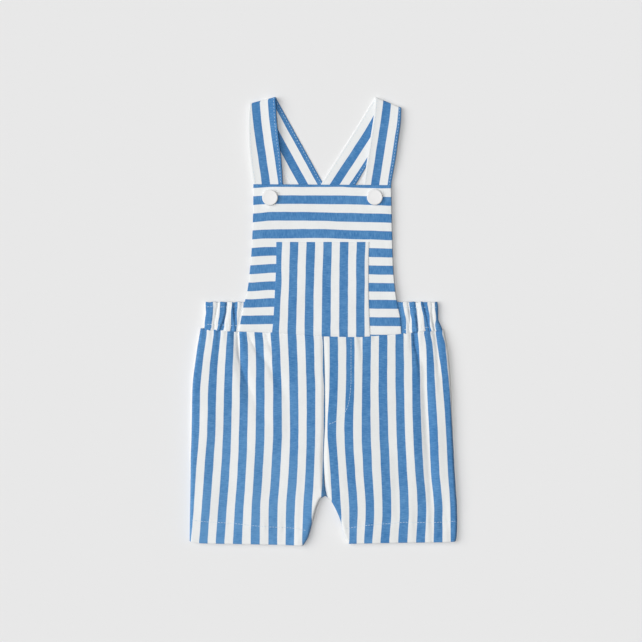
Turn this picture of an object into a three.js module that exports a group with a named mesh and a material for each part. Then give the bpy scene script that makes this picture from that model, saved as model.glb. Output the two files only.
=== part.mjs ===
// Striped baby dungarees, laid flat on their back with the front side up.
// Millimetres. +X is to the right as seen, +Y points from the hems to the
// shoulder straps and +Z is up from the surface that the garment lies on.

import * as THREE from "three";

// Cloth, seams and the lift of each layer

const CLOTH = 1.0; // thickness of the woven cloth
const SEAM_GAP = 0.3; // space left between two pieces that are sewn together
const LAYER = CLOTH + SEAM_GAP; // rise from one sheet to the sheet lying on it
const FLOOR_Z = CLOTH / 2; // middle of a sheet that lies on the surface

const BUTTON_DIAMETER = 15;
const BUTTON_HEIGHT = 2.6;
const BUTTON_RIM = 0.7; // radius of the rounded rim
const BUTTON_DISH = 0.35; // depth of the shallow hollow in the face

const SIDE_ROLL = 3; // width over which a leg rises from the surface at its side
const SEAM_ROLL = 3.5; // width over which a leg sinks to its inner seam

const BACK_PITCH = 9.5; // spacing of the gathers on the back of the waistband
const FRONT_GATHER = 0.75; // half height of a gather on the front of the band
const BACK_GATHER = 0.6; // half height of a gather on the back of the band

// Outline of the bib and its own lift, one row a height

const BIB = [
  { y: 130.0, left: -66.5, right: 64.2, lift: 4.8 },
  { y: 115.0, left: -66.6, right: 64.5, lift: 4.8 },
  { y: 98.9, left: -66.9, right: 64.8, lift: 4.7 },
  { y: 82.7, left: -67.4, right: 65.2, lift: 4.5 },
  { y: 65.6, left: -68.3, right: 65.6, lift: 4.3 },
  { y: 47.6, left: -69.9, right: 66.4, lift: 4.5 },
  { y: 30.5, left: -71.9, right: 67.9, lift: 5.3 },
  { y: 17.2, left: -75.0, right: 69.9, lift: 5.9 },
  { y: 1.0, left: -78.3, right: 73.1, lift: 5.9 },
  { y: -16.0, left: -81.4, right: 74.0, lift: 5.9 },
];

const POCKET = [
  { y: 75.1, left: -44.7, right: 43.3 },
  { y: 56.1, left: -44.8, right: 42.9 },
  { y: 29.5, left: -46.0, right: 42.8 },
  { y: 10.5, left: -46.9, right: 43.3 },
  { y: -3.7, left: -48.0, right: 43.9 },
  { y: -16.0, left: -49.4, right: 44.5 },
];

// Seam between the bib or waistband and the legs, one row a place across

const WAIST_SEAM = [
  { x: -118, y: -8.1 },
  { x: -80, y: -9.9 },
  { x: -48.8, y: -11.3 },
  { x: -1.3, y: -14.5 },
  { x: 25.3, y: -15.3 },
  { x: 73.7, y: -12.3 },
  { x: 96.5, y: -9.4 },
  { x: 116, y: -9.4 },
];

// Outlines of the two front legs, one row a height

const LEFT_LEG = [
  { y: -8.0, outer: -116.8, inner: -0.2, lift: 5.2 },
  { y: -16.1, outer: -118.2, inner: -0.1, lift: 5.6 },
  { y: -32.2, outer: -120.7, inner: 0.4, lift: 6.2 },
  { y: -65.5, outer: -124.4, inner: 1.1, lift: 6.6 },
  { y: -94.0, outer: -124.9, inner: 1.2, lift: 6.6 },
  { y: -113.0, outer: -125.3, inner: 0.4, lift: 6.5 },
  { y: -129.1, outer: -125.9, inner: -0.2, lift: 6.4 },
  { y: -141.5, outer: -126.0, inner: 0.2, lift: 6.2 },
  { y: -152.9, outer: -126.1, inner: 0.6, lift: 6.1 },
  { y: -160.0, outer: -126.2, inner: 1.1, lift: 6.0 },
  { y: -165.2, outer: -126.3, inner: 2.3, lift: 5.9 },
  { y: -167.6, outer: -126.3, inner: -1.9, lift: 5.9 },
  { y: -172.9, outer: -126.4, inner: -5.3, lift: 5.8 },
  { y: -189.3, outer: -126.7, inner: -10.2, lift: 5.4 },
  { y: -205.9, outer: -126.9, inner: -15.0, lift: 5.0 },
  { y: -213.6, outer: -127.0, inner: -19.9, lift: 4.8 },
];

const RIGHT_LEG = [
  { y: -9.0, outer: 114.5, inner: 0.5, lift: 5.2 },
  { y: -16.1, outer: 115.9, inner: 0.6, lift: 5.6 },
  { y: -32.2, outer: 118.7, inner: 1.2, lift: 6.2 },
  { y: -65.5, outer: 121.1, inner: 1.9, lift: 6.6 },
  { y: -94.0, outer: 122.1, inner: 2.0, lift: 6.6 },
  { y: -113.0, outer: 123.0, inner: 1.2, lift: 6.5 },
  { y: -129.1, outer: 123.8, inner: 0.6, lift: 6.4 },
  { y: -141.5, outer: 124.4, inner: 1.0, lift: 6.2 },
  { y: -152.9, outer: 125.2, inner: 1.4, lift: 6.1 },
  { y: -160.0, outer: 125.6, inner: 2.6, lift: 6.0 },
  { y: -165.7, outer: 126.0, inner: 4.0, lift: 5.9 },
  { y: -171.0, outer: 126.5, inner: 7.6, lift: 5.8 },
  { y: -189.3, outer: 127.0, inner: 16.3, lift: 5.4 },
  { y: -203.0, outer: 126.6, inner: 19.9, lift: 5.0 },
  { y: -213.6, outer: 124.2, inner: 24.6, lift: 4.8 },
];

// Height of the seam between the two front legs, then of their inner edges

const CENTRE_SEAM = [
  { y: -12, lift: 5.2 },
  { y: -60, lift: 5.2 },
  { y: -110, lift: 5.0 },
  { y: -145, lift: 4.0 },
  { y: -165, lift: 1.8 },
];

const CROTCH = -162; // from here down the inner edges are as round as the sides

// Lower edge of each leg, one row a place across

const LEFT_HEM = [
  { x: -127.0, y: -209.2 },
  { x: -117.8, y: -210.9 },
  { x: -77.1, y: -211.7 },
  { x: -35.4, y: -212.6 },
  { x: -16.0, y: -213.6 },
];

const RIGHT_HEM = [
  { x: 20.0, y: -211.6 },
  { x: 70.7, y: -210.5 },
  { x: 113.3, y: -209.9 },
  { x: 127.0, y: -209.2 },
];

// Creases pressed into the front legs. A row is one straight run of a crease,
// from its upper to its lower end, with how far it sinks at each end.

const LEFT_CREASES = [
  { x1: -83.0, y1: -9.0, x2: -79.2, y2: -39.8, sink1: 2.4, sink2: 1.8, width: 3.2 },
  { x1: -79.2, y1: -39.8, x2: -67.8, y2: -75.0, sink1: 1.8, sink2: 1.1, width: 4.5 },
  { x1: -67.8, y1: -75.0, x2: -53.6, y2: -94.0, sink1: 1.1, sink2: 0.3, width: 6 },
  { x1: -71.6, y1: -18.0, x2: -53.6, y2: -38.9, sink1: 0.9, sink2: 1.0, width: 4 },
  { x1: -53.6, y1: -38.9, x2: -34.6, y2: -68.3, sink1: 1.0, sink2: 0.7, width: 5 },
  { x1: -34.6, y1: -68.3, x2: -34.6, y2: -113.0, sink1: 0.7, sink2: 0.5, width: 7 },
  { x1: -55.5, y1: -18.0, x2: -48.8, y2: -27.5, sink1: 0.8, sink2: 0.4, width: 3 },
];

const RIGHT_CREASES = [
  { x1: 86.0, y1: -11.0, x2: 87.4, y2: -24.6, sink1: 2.0, sink2: 2.0, width: 3.2 },
  { x1: 87.4, y1: -24.6, x2: 94.6, y2: -45.0, sink1: 2.0, sink2: 1.6, width: 4 },
  { x1: 94.6, y1: -45.0, x2: 98.4, y2: -103.5, sink1: 1.6, sink2: 1.4, width: 5 },
  { x1: 98.4, y1: -103.5, x2: 101.3, y2: -170.0, sink1: 1.4, sink2: 0.8, width: 5.5 },
  { x1: 105.0, y1: -11.0, x2: 108.0, y2: -48.0, sink1: 1.6, sink2: 0.4, width: 3.2 },
  { x1: 113.6, y1: -172.0, x2: 113.6, y2: -196.0, sink1: 0.6, sink2: 1.0, width: 4 },
  { x1: 37.6, y1: -17.0, x2: 37.6, y2: -30.0, sink1: 0.7, sink2: 0.3, width: 4 },
];

const LEFT_SWELLS = [
  { x1: -88.0, y1: -30.0, x2: -80.0, y2: -72.0, sink1: 0.7, sink2: 0.5, width: 7 },
  { x1: -71.6, y1: -135.0, x2: -66.0, y2: -190.0, sink1: 0.8, sink2: 0.7, width: 14 },
  { x1: -112.0, y1: -90.0, x2: -112.0, y2: -180.0, sink1: 0.5, sink2: 0.4, width: 9 },
];

const RIGHT_SWELLS = [
  { x1: 104.0, y1: -60.0, x2: 110.0, y2: -150.0, sink1: 0.8, sink2: 0.6, width: 6 },
  { x1: 84.0, y1: -70.0, x2: 88.0, y2: -160.0, sink1: 0.6, sink2: 0.6, width: 8 },
  { x1: 40.0, y1: -90.0, x2: 55.0, y2: -180.0, sink1: 0.5, sink2: 0.6, width: 14 },
];

// Shallow creases that lift the back of the legs off the surface

const BACK_CREASES = [
  { x1: 30.0, y1: -30.0, x2: 42.0, y2: -120.0, sink1: 1.0, sink2: 0.5, width: 6 },
  { x1: 78.0, y1: -20.0, x2: 84.0, y2: -80.0, sink1: 0.9, sink2: 0.4, width: 5 },
  { x1: 60.0, y1: -130.0, x2: 70.0, y2: -200.0, sink1: 0.4, sink2: 0.9, width: 7 },
  { x1: -34.0, y1: -24.0, x2: -46.0, y2: -100.0, sink1: 0.9, sink2: 0.5, width: 6 },
  { x1: -86.0, y1: -20.0, x2: -80.0, y2: -95.0, sink1: 1.0, sink2: 0.4, width: 5 },
  { x1: -70.0, y1: -120.0, x2: -84.0, y2: -196.0, sink1: 0.4, sink2: 0.8, width: 7 },
];

// Waistband, one row a line along it from its top edge down to the leg seam.
// left and right are its two side folds.

const WAISTBAND = [
  { y: 18.1, left: -112.1, right: 108.3, lift: 4.9 },
  { y: 13.4, left: -112.6, right: 109.0, lift: 5.0 },
  { y: 7.0, left: -112.6, right: 109.0, lift: 5.1 },
  { y: 1.0, left: -112.7, right: 109.1, lift: 5.1 },
  { y: -4.0, left: -113.1, right: 111.6, lift: 5.0 },
  { y: -8.2, left: -113.6, right: 113.2, lift: 5.0 },
];

// Straps, one row a line across each band, from its front end under the bib,
// up over the shoulder fold and down its back arm to the back of the waistband.
// near is the edge on the left of the front arm, far the edge on its right.

const LEFT_STRAP = [
  { nearX: -63.1, nearY: 103.6, farX: -36.0, farY: 103.6, lift: 3.2 },
  { nearX: -66.5, nearY: 130.2, farX: -38.6, farY: 130.2, lift: 3.2 },
  { nearX: -69.7, nearY: 153.0, farX: -40.1, farY: 153.0, lift: 4.1 },
  { nearX: -71.1, nearY: 172.0, farX: -42.4, farY: 172.0, lift: 4.3 },
  { nearX: -71.4, nearY: 191.0, farX: -44.5, farY: 191.6, lift: 4.2 },
  { nearX: -70.4, nearY: 205.0, farX: -45.6, farY: 210.9, lift: 3.6 },
];

const LEFT_STRAP_BACK = [
  { nearX: -67.2, nearY: 203.4, farX: -43.9, farY: 210.1, lift: 0.5 },
  { nearX: -55.2, nearY: 175.0, farX: -29.9, farY: 184.5, lift: 0.5 },
  { nearX: -42.0, nearY: 148.6, farX: -16.6, farY: 160.5, lift: 0.5 },
  { nearX: -27.3, nearY: 122.0, farX: -2.8, farY: 135.4, lift: 0.5 },
  { nearX: -13.5, nearY: 97.0, farX: 11.0, farY: 110.5, lift: 0.5 },
  { nearX: 4.4, nearY: 65.5, farX: 28.9, farY: 79.0, lift: 0.5 },
  { nearX: 22.0, nearY: 35.5, farX: 46.5, farY: 49.0, lift: 0.55 },
  { nearX: 29.5, nearY: 22.2, farX: 58.0, farY: 24.0, lift: 3.1 },
  { nearX: 35.0, nearY: 14.5, farX: 63.5, farY: 14.5, lift: 3.1 },
  { nearX: 37.5, nearY: 9.5, farX: 66.0, farY: 9.5, lift: 3.1 },
];

const RIGHT_STRAP = [
  { nearX: 34.8, nearY: 103.6, farX: 61.4, farY: 103.6, lift: 3.2 },
  { nearX: 38.3, nearY: 130.2, farX: 64.4, farY: 130.2, lift: 3.2 },
  { nearX: 41.9, nearY: 156.0, farX: 68.8, farY: 156.0, lift: 4.1 },
  { nearX: 44.8, nearY: 174.9, farX: 71.3, farY: 174.9, lift: 4.3 },
  { nearX: 47.8, nearY: 194.8, farX: 73.4, farY: 190.5, lift: 4.2 },
  { nearX: 49.4, nearY: 211.0, farX: 73.8, farY: 201.0, lift: 3.6 },
];

const RIGHT_STRAP_BACK = [
  { nearX: 47.2, nearY: 209.8, farX: 71.4, farY: 199.6, lift: 0.5 },
  { nearX: 33.5, nearY: 187.0, farX: 58.5, farY: 175.5, lift: 0.5 },
  { nearX: 18.0, nearY: 162.2, farX: 42.5, farY: 149.5, lift: 0.7 },
  { nearX: 1.1, nearY: 135.4, farX: 25.5, farY: 121.5, lift: 1.9 },
  { nearX: -15.5, nearY: 109.5, farX: 8.5, farY: 94.5, lift: 1.9 },
  { nearX: -31.0, nearY: 85.0, farX: -7.0, farY: 70.0, lift: 1.9 },
  { nearX: -46.0, nearY: 61.5, farX: -22.0, farY: 46.5, lift: 0.5 },
  { nearX: -60.0, nearY: 39.5, farX: -35.5, farY: 25.5, lift: 0.55 },
  { nearX: -70.0, nearY: 24.0, farX: -40.5, farY: 22.2, lift: 3.1 },
  { nearX: -73.5, nearY: 15.5, farX: -44.5, farY: 15.5, lift: 3.1 },
  { nearX: -76.0, nearY: 10.5, farX: -47.0, farY: 10.5, lift: 3.1 },
];

// Button centres on the bib

const BUTTONS = [
  { name: "button_left", x: -50.7, y: 117.2 },
  { name: "button_right", x: 48.7, y: 117.6 },
];

// Small helpers

const mix = (a, b, t) => a + (b - a) * t;
const clamp01 = (t) => Math.min(1, Math.max(0, t));
const ease = (t) => clamp01(t) ** 2 * (3 - 2 * clamp01(t));

// The value of one column of a table at a place along its key column. The
// curve through the rows is smooth and never passes outside two neighbours.
function column(rows, key, name, at) {
  const rising = rows[rows.length - 1][key] > rows[0][key];
  const sorted = rising ? rows : [...rows].reverse();
  const x = sorted.map((row) => row[key]);
  const f = sorted.map((row) => row[name]);
  const last = x.length - 1;
  if (at <= x[0]) return f[0];
  if (at >= x[last]) return f[last];
  let i = 0;
  while (at > x[i + 1]) i += 1;
  const step = (k) => (f[k + 1] - f[k]) / (x[k + 1] - x[k]);
  const slope = (k) => {
    if (k === 0) return step(0);
    if (k === last) return step(last - 1);
    const [a, b] = [step(k - 1), step(k)];
    return a * b <= 0 ? 0 : (2 * a * b) / (a + b);
  };
  const width = x[i + 1] - x[i];
  const t = (at - x[i]) / width;
  const blend = t * t * (3 - 2 * t);
  const bend1 = t * (1 - t) ** 2 * width * slope(i);
  const bend2 = t * t * (t - 1) * width * slope(i + 1);
  return mix(f[i], f[i + 1], blend) + bend1 + bend2;
}

// How far the deepest of a table's creases sinks at a place.
function sinkAt(creases, x, y) {
  let most = 0;
  for (const c of creases) {
    const dx = c.x2 - c.x1;
    const dy = c.y2 - c.y1;
    const t = clamp01(((x - c.x1) * dx + (y - c.y1) * dy) / (dx * dx + dy * dy));
    const away = Math.hypot(x - c.x1 - t * dx, y - c.y1 - t * dy);
    const sink = mix(c.sink1, c.sink2, t) * Math.exp(-((away / c.width) ** 2));
    most = Math.max(most, sink);
  }
  return most;
}

// A quarter-round rise from 0 at an edge to 1 at the given width.
function roll(distance, width) {
  const t = clamp01(distance / width);
  return Math.sqrt(1 - (1 - t) ** 2);
}

// A closed solid of one cloth thickness about a grid of points. The grid is
// grid[row][column] and its upper face is the one that row x column faces.
function clothSolid(grid, thickness = CLOTH) {
  const rows = grid.length;
  const columns = grid[0].length;
  const upper = [];
  const lower = [];
  for (let r = 0; r < rows; r += 1) {
    for (let c = 0; c < columns; c += 1) {
      const across = grid[r][Math.min(c + 1, columns - 1)]
        .clone()
        .sub(grid[r][Math.max(c - 1, 0)]);
      const down = grid[Math.min(r + 1, rows - 1)][c]
        .clone()
        .sub(grid[Math.max(r - 1, 0)][c]);
      const normal = down.cross(across).normalize();
      const half = normal.multiplyScalar(thickness / 2);
      upper.push(grid[r][c].clone().add(half));
      lower.push(grid[r][c].clone().sub(half));
    }
  }
  return stitchFaces(upper, lower, rows, columns);
}

// Joins an upper and a lower grid of points by their two faces and the rim.
function stitchFaces(upper, lower, rows, columns) {
  const points = [...upper, ...lower];
  const faces = [];
  const top = (r, c) => r * columns + c;
  const bottom = (r, c) => upper.length + r * columns + c;
  const quad = (a, b, c, d) => faces.push(a, b, c, a, c, d);
  for (let r = 0; r + 1 < rows; r += 1) {
    for (let c = 0; c + 1 < columns; c += 1) {
      quad(top(r, c), top(r + 1, c), top(r + 1, c + 1), top(r, c + 1));
      quad(bottom(r, c), bottom(r, c + 1), bottom(r + 1, c + 1), bottom(r + 1, c));
    }
  }
  for (let c = 0; c + 1 < columns; c += 1) {
    const r = rows - 1;
    quad(top(0, c), top(0, c + 1), bottom(0, c + 1), bottom(0, c));
    quad(top(r, c + 1), top(r, c), bottom(r, c), bottom(r, c + 1));
  }
  for (let r = 0; r + 1 < rows; r += 1) {
    const c = columns - 1;
    quad(top(r + 1, 0), top(r, 0), bottom(r, 0), bottom(r + 1, 0));
    quad(top(r, c), top(r + 1, c), bottom(r + 1, c), bottom(r, c));
  }
  const flat = points.flatMap((p) => [p.x, p.y, Math.max(0, p.z)]);
  const geometry = new THREE.BufferGeometry();
  geometry.setAttribute("position", new THREE.Float32BufferAttribute(flat, 3));
  geometry.setIndex(faces);
  return geometry;
}

function gridOf(rows, columns, pointAt) {
  return Array.from({ length: rows + 1 }, (_, r) =>
    Array.from({ length: columns + 1 }, (_, c) => pointAt(r / rows, c / columns)),
  );
}

// Bib and its patch pocket

const bibBottom = (x) => column(WAIST_SEAM, "x", "y", x) + 0.7 * SEAM_GAP;

// Height of the middle of the bib cloth, with a slow unevenness and soft edges.
function bibLift(x, y) {
  const left = column(BIB, "y", "left", y);
  const right = column(BIB, "y", "right", y);
  const edge = Math.min(x - left, right - x);
  const wave = 0.12 * Math.sin(x / 19 + y / 31) + 0.1 * Math.sin(x / 11 - y / 17);
  const loose = wave * ease(edge / 20) * ease((y - 5) / 30);
  return column(BIB, "y", "lift", y) + loose - 0.2 * (1 - ease(edge / 4));
}

function bibPoint(v, u) {
  const left = column(BIB, "y", "left", 130);
  const right = column(BIB, "y", "right", 130);
  const top = mix(130.0, 129.1, u);
  const bottom = bibBottom(mix(left * 1.2, right * 1.15, u));
  const y = mix(top, bottom, v);
  const x = mix(column(BIB, "y", "left", y), column(BIB, "y", "right", y), u);
  return new THREE.Vector3(x, y, bibLift(x, y));
}

function pocketPoint(v, u) {
  const y = mix(75.1, bibBottom(mix(-49, 44.5, u)), v);
  const x = mix(column(POCKET, "y", "left", y), column(POCKET, "y", "right", y), u);
  return new THREE.Vector3(x, y, bibLift(x, y) + LAYER + 0.06);
}

// Legs

// The front of a leg. side is -1 for the leg on the left and 1 on the right.
function frontLegPoint(leg, hem, creases, swells, side, v, u) {
  const topOuter = column(leg, "y", "outer", -9);
  const topInner = column(leg, "y", "inner", -9);
  const topY = column(WAIST_SEAM, "x", "y", mix(topInner, topOuter, u)) - 0.7 * SEAM_GAP;
  const hemOuter = leg[leg.length - 1].outer;
  const hemInner = leg[leg.length - 1].inner;
  const hemY = column(hem, "x", "y", mix(hemInner, hemOuter, u));
  const y = mix(topY, hemY, v);
  const outer = column(leg, "y", "outer", y) - (side * CLOTH) / 2;
  const inner = column(leg, "y", "inner", y);
  const x = mix(inner, outer, u);
  const fromSide = Math.abs(outer - x);
  const fromSeam = Math.abs(x - inner);
  const seamZ = column(CENTRE_SEAM, "y", "lift", y);
  const lift =
    column(leg, "y", "lift", y) - sinkAt(creases, x, y) + sinkAt(swells, x, y);
  const rounded = ease((CROTCH - y) / 8);
  const rise = mix(ease(fromSeam / SEAM_ROLL), roll(fromSeam, SEAM_ROLL), rounded);
  const raised = mix(seamZ, lift, rise);
  return new THREE.Vector3(x, y, raised * roll(fromSide, SIDE_ROLL));
}

// Rows of a front leg crowd together at the crotch, and its columns where the
// cloth rolls down at its side.
const LEG_ROWS = [
  0, 0.05, 0.1, 0.15, 0.2, 0.25, 0.3, 0.35, 0.4, 0.45, 0.5, 0.55, 0.6, 0.65, 0.7,
  0.74, 0.7655, 0.777, 0.8, 0.85, 0.9, 0.95, 1,
];

const LEG_COLUMNS = [
  0, 0.012, 0.03, 0.07, 0.12, 0.18, 0.24, 0.3, 0.36, 0.42, 0.48, 0.54, 0.6, 0.66, 0.72,
  0.78, 0.83, 0.88, 0.925, 0.96, 0.976, 0.99, 0.9965, 1,
];

function frontLeg(leg, hem, creases, swells, side) {
  const grid = LEG_ROWS.map((v) =>
    LEG_COLUMNS.map((u) => frontLegPoint(leg, hem, creases, swells, side, v, u)),
  );
  if (side > 0) return clothSolid(grid);
  return clothSolid(grid.map((row) => [...row].reverse()));
}

// The back of a leg lies on the surface, inside the side fold of the front.
function backLeg(leg, hem, side) {
  const inset = CLOTH + 3 * SEAM_GAP;
  const grid = gridOf(14, 10, (v, u) => {
    const hemInner = leg[leg.length - 1].inner;
    const hemOuter = leg[leg.length - 1].outer;
    const hemY = column(hem, "x", "y", mix(hemInner, hemOuter, u)) + 0.8;
    const y = mix(-8.8, hemY, v);
    const outer = column(leg, "y", "outer", y) - side * inset;
    const seam = side * (SEAM_GAP / 2) + 0.8;
    const inner = y > -166 ? seam : column(leg, "y", "inner", y);
    const x = mix(inner, outer, u);
    const edge = Math.min(Math.abs(x - inner), Math.abs(outer - x), -8 - y, y - hemY);
    const lift = 0.55 * sinkAt(BACK_CREASES, x, y) * ease(edge / 12);
    return new THREE.Vector3(x, y, FLOOR_Z + lift);
  });
  if (side > 0) return clothSolid(grid);
  return clothSolid(grid.map((row) => [...row].reverse()));
}

// Gathered waistband: one strip that starts under the left edge of the bib,
// folds down to the surface at the side, crosses the back, folds up at the
// other side and ends under the right edge of the bib.

const STUB_TUCK = 4; // length of the band hidden under each edge of the bib
const STUB_TUCK_Z = 4.35; // height of that hidden length
const BAND_FOLD = 2.6; // how far a side fold bulges past the flat runs

// The gathers on the two short runs that show beside the bib: the place of the
// trough nearest the bib at the top edge, their spacing and their lean.
const STUB_GATHERS = {
  left: { trough: -83.2, pitch: 8.6, lean: -0.12 },
  right: { trough: 80.7, pitch: 7.6, lean: 0.07 },
};

function bandStations() {
  const front = Array.from({ length: 27 }, (_, i) => ({ run: "left", t: i / 26 }));
  const foldLeft = [0.2, 0.4, 0.6, 0.8].map((t) => ({ run: "foldLeft", t }));
  const back = Array.from({ length: 85 }, (_, i) => ({ run: "back", t: i / 84 }));
  const foldRight = [0.2, 0.4, 0.6, 0.8].map((t) => ({ run: "foldRight", t }));
  const end = Array.from({ length: 27 }, (_, i) => ({ run: "right", t: i / 26 }));
  return [...front, ...foldLeft, ...back, ...foldRight, ...end];
}

function bandPoint(y, station) {
  const left = column(WAISTBAND, "y", "left", y) + CLOTH / 2;
  const right = column(WAISTBAND, "y", "right", y) - CLOTH / 2;
  const lift = column(WAISTBAND, "y", "lift", y);
  const backZ = FLOOR_Z + BACK_GATHER;
  const innerLeft = left + BAND_FOLD;
  const innerRight = right - BAND_FOLD;
  const { run, t } = station;
  if (run === "back") {
    const x = mix(innerLeft, innerRight, t);
    const gather = Math.cos((2 * Math.PI * x) / BACK_PITCH + 0.35 * Math.sin(y / 6));
    const calm = ease(Math.min(x - innerLeft, innerRight - x) / 3);
    return new THREE.Vector3(x, y, mix(FLOOR_Z, backZ + BACK_GATHER * gather, calm));
  }
  if (run === "foldLeft" || run === "foldRight") {
    const turn = run === "foldLeft" ? t : 1 - t;
    const angle = Math.PI * (0.5 + turn);
    const middle = (lift + FLOOR_Z) / 2;
    const sign = run === "foldLeft" ? 1 : -1;
    const x = (run === "foldLeft" ? innerLeft : innerRight) + sign * BAND_FOLD * Math.cos(angle);
    return new THREE.Vector3(x, y, middle + (middle - FLOOR_Z) * Math.sin(angle));
  }
  const seamLeft = column(BIB, "y", "left", y) + STUB_TUCK;
  const seamRight = column(BIB, "y", "right", y) - STUB_TUCK;
  const x = run === "left" ? mix(seamLeft, innerLeft, t) : mix(innerRight, seamRight, t);
  const toBib = run === "left" ? seamLeft - x : x - seamRight;
  const free = ease((toBib - STUB_TUCK - 1) / 5);
  const toSide = run === "left" ? x - innerLeft : innerRight - x;
  const { trough, pitch, lean } = STUB_GATHERS[run];
  const fromTrough = x - trough - lean * (18 - y);
  const wave = -Math.cos((2 * Math.PI * fromTrough) / pitch);
  const gather = FRONT_GATHER * wave * ease(toSide / 3) * free;
  return new THREE.Vector3(x, y, mix(STUB_TUCK_Z, lift, free) + gather);
}

// How much of the front's lower edge line a station of the band follows.
function frontShare({ run, t }) {
  if (run === "back") return 0;
  if (run === "foldLeft") return 1 - t;
  return run === "foldRight" ? t : 1;
}

function waistband() {
  const stations = bandStations();
  const heights = [18.1, 13.4, 8.6, 3.8, -1.0, -5.2, -8.4];
  const grid = heights.map((height) =>
    stations.map((station) => {
      const point = bandPoint(height, station);
      const seam = column(WAIST_SEAM, "x", "y", point.x) + 0.7 * SEAM_GAP;
      const front = mix(18.1, seam, (18.1 - height) / 26.5);
      point.y = mix(point.y, front, frontShare(station));
      return point;
    }),
  );
  return clothSolid(grid.map((row) => [...row].reverse()));
}

// Straps

// The rows of one strap with the half-round fold over the shoulder between them.
function strapSections(front, back) {
  const up = front[front.length - 1];
  const down = back[0];
  const centre = {
    nearX: (up.nearX + down.nearX) / 2,
    nearY: (up.nearY + down.nearY) / 2,
    farX: (up.farX + down.farX) / 2,
    farY: (up.farY + down.farY) / 2,
    lift: (up.lift + down.lift) / 2,
  };
  const radius = (up.lift - down.lift) / 2;
  const along = new THREE.Vector2(up.farX - up.nearX, up.farY - up.nearY).normalize();
  const out = new THREE.Vector2(-along.y, along.x);
  const fold = [0.25, 0.5, 0.75].map((t) => {
    const angle = Math.PI * (0.5 - t);
    const reach = 2.2 * Math.cos(angle);
    const share = t;
    return {
      nearX: mix(up.nearX, down.nearX, share) + out.x * reach,
      nearY: mix(up.nearY, down.nearY, share) + out.y * reach,
      farX: mix(up.farX, down.farX, share) + out.x * reach,
      farY: mix(up.farY, down.farY, share) + out.y * reach,
      lift: centre.lift + radius * Math.sin(angle),
    };
  });
  return [...front, ...fold, ...back];
}

function strap(front, back) {
  const sections = strapSections(front, back);
  const across = 4;
  const grid = [];
  sections.forEach((section, i) => {
    const next = sections[i + 1];
    const parts = next && Math.hypot(next.nearX - section.nearX, next.nearY - section.nearY) > 12 ? 2 : 1;
    for (let p = 0; p < (next ? parts : 1); p += 1) {
      const t = p / parts;
      const row = next ? blendSection(section, next, t) : section;
      grid.push(
        Array.from({ length: across + 1 }, (_, c) => {
          const u = c / across;
          return new THREE.Vector3(
            mix(row.nearX, row.farX, u),
            mix(row.nearY, row.farY, u),
            row.lift,
          );
        }),
      );
    }
  });
  return clothSolid(grid.reverse());
}

function blendSection(a, b, t) {
  const names = ["nearX", "nearY", "farX", "farY", "lift"];
  return Object.fromEntries(names.map((name) => [name, mix(a[name], b[name], t)]));
}

// Buttons: a turned disc with a rounded rim and a slightly hollow face.

function button(x, y) {
  const radius = BUTTON_DIAMETER / 2;
  const r = BUTTON_RIM;
  const top = BUTTON_HEIGHT;
  const profile = [
    [0, 0],
    [radius - r, 0],
    [radius - 0.3 * r, 0.3 * r],
    [radius, r],
    [radius, top - r],
    [radius - 0.3 * r, top - 0.3 * r],
    [radius - r, top],
    [radius - 2.2, top - BUTTON_DISH * 0.8],
    [0, top - BUTTON_DISH],
  ].map(([px, py]) => new THREE.Vector2(px, py));
  const geometry = new THREE.LatheGeometry(profile, 40);
  geometry.rotateX(Math.PI / 2);
  geometry.translate(x, y, bibLift(x, y) + CLOTH / 2 + SEAM_GAP + 0.06);
  return geometry;
}

// The garment

const dungarees = new THREE.Group();

function addPiece(name, geometry, colour) {
  const material = new THREE.MeshStandardMaterial({ color: colour, roughness: 0.9 });
  const piece = new THREE.Mesh(geometry, material);
  piece.name = name;
  dungarees.add(piece);
}

const STRIPED = 0x9dbbd8;
const STRIPED_BACK = 0x86a8cb;
const WHITE = 0xf2f2ee;

addPiece("bib_front", clothSolid(gridOf(18, 16, bibPoint)), STRIPED);
addPiece("bib_pocket", clothSolid(gridOf(12, 12, pocketPoint)), STRIPED);
addPiece(
  "leg_front_left",
  frontLeg(LEFT_LEG, LEFT_HEM, LEFT_CREASES, LEFT_SWELLS, -1),
  STRIPED,
);
addPiece(
  "leg_front_right",
  frontLeg(RIGHT_LEG, RIGHT_HEM, RIGHT_CREASES, RIGHT_SWELLS, 1),
  STRIPED,
);
addPiece("leg_back_left", backLeg(LEFT_LEG, LEFT_HEM, -1), STRIPED_BACK);
addPiece("leg_back_right", backLeg(RIGHT_LEG, RIGHT_HEM, 1), STRIPED_BACK);
addPiece("waistband_elastic", waistband(), STRIPED);
addPiece("strap_left", strap(LEFT_STRAP, LEFT_STRAP_BACK), STRIPED);
addPiece("strap_right", strap(RIGHT_STRAP, RIGHT_STRAP_BACK), STRIPED);
for (const { name, x, y } of BUTTONS) addPiece(name, button(x, y), WHITE);

export default dungarees;
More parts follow.
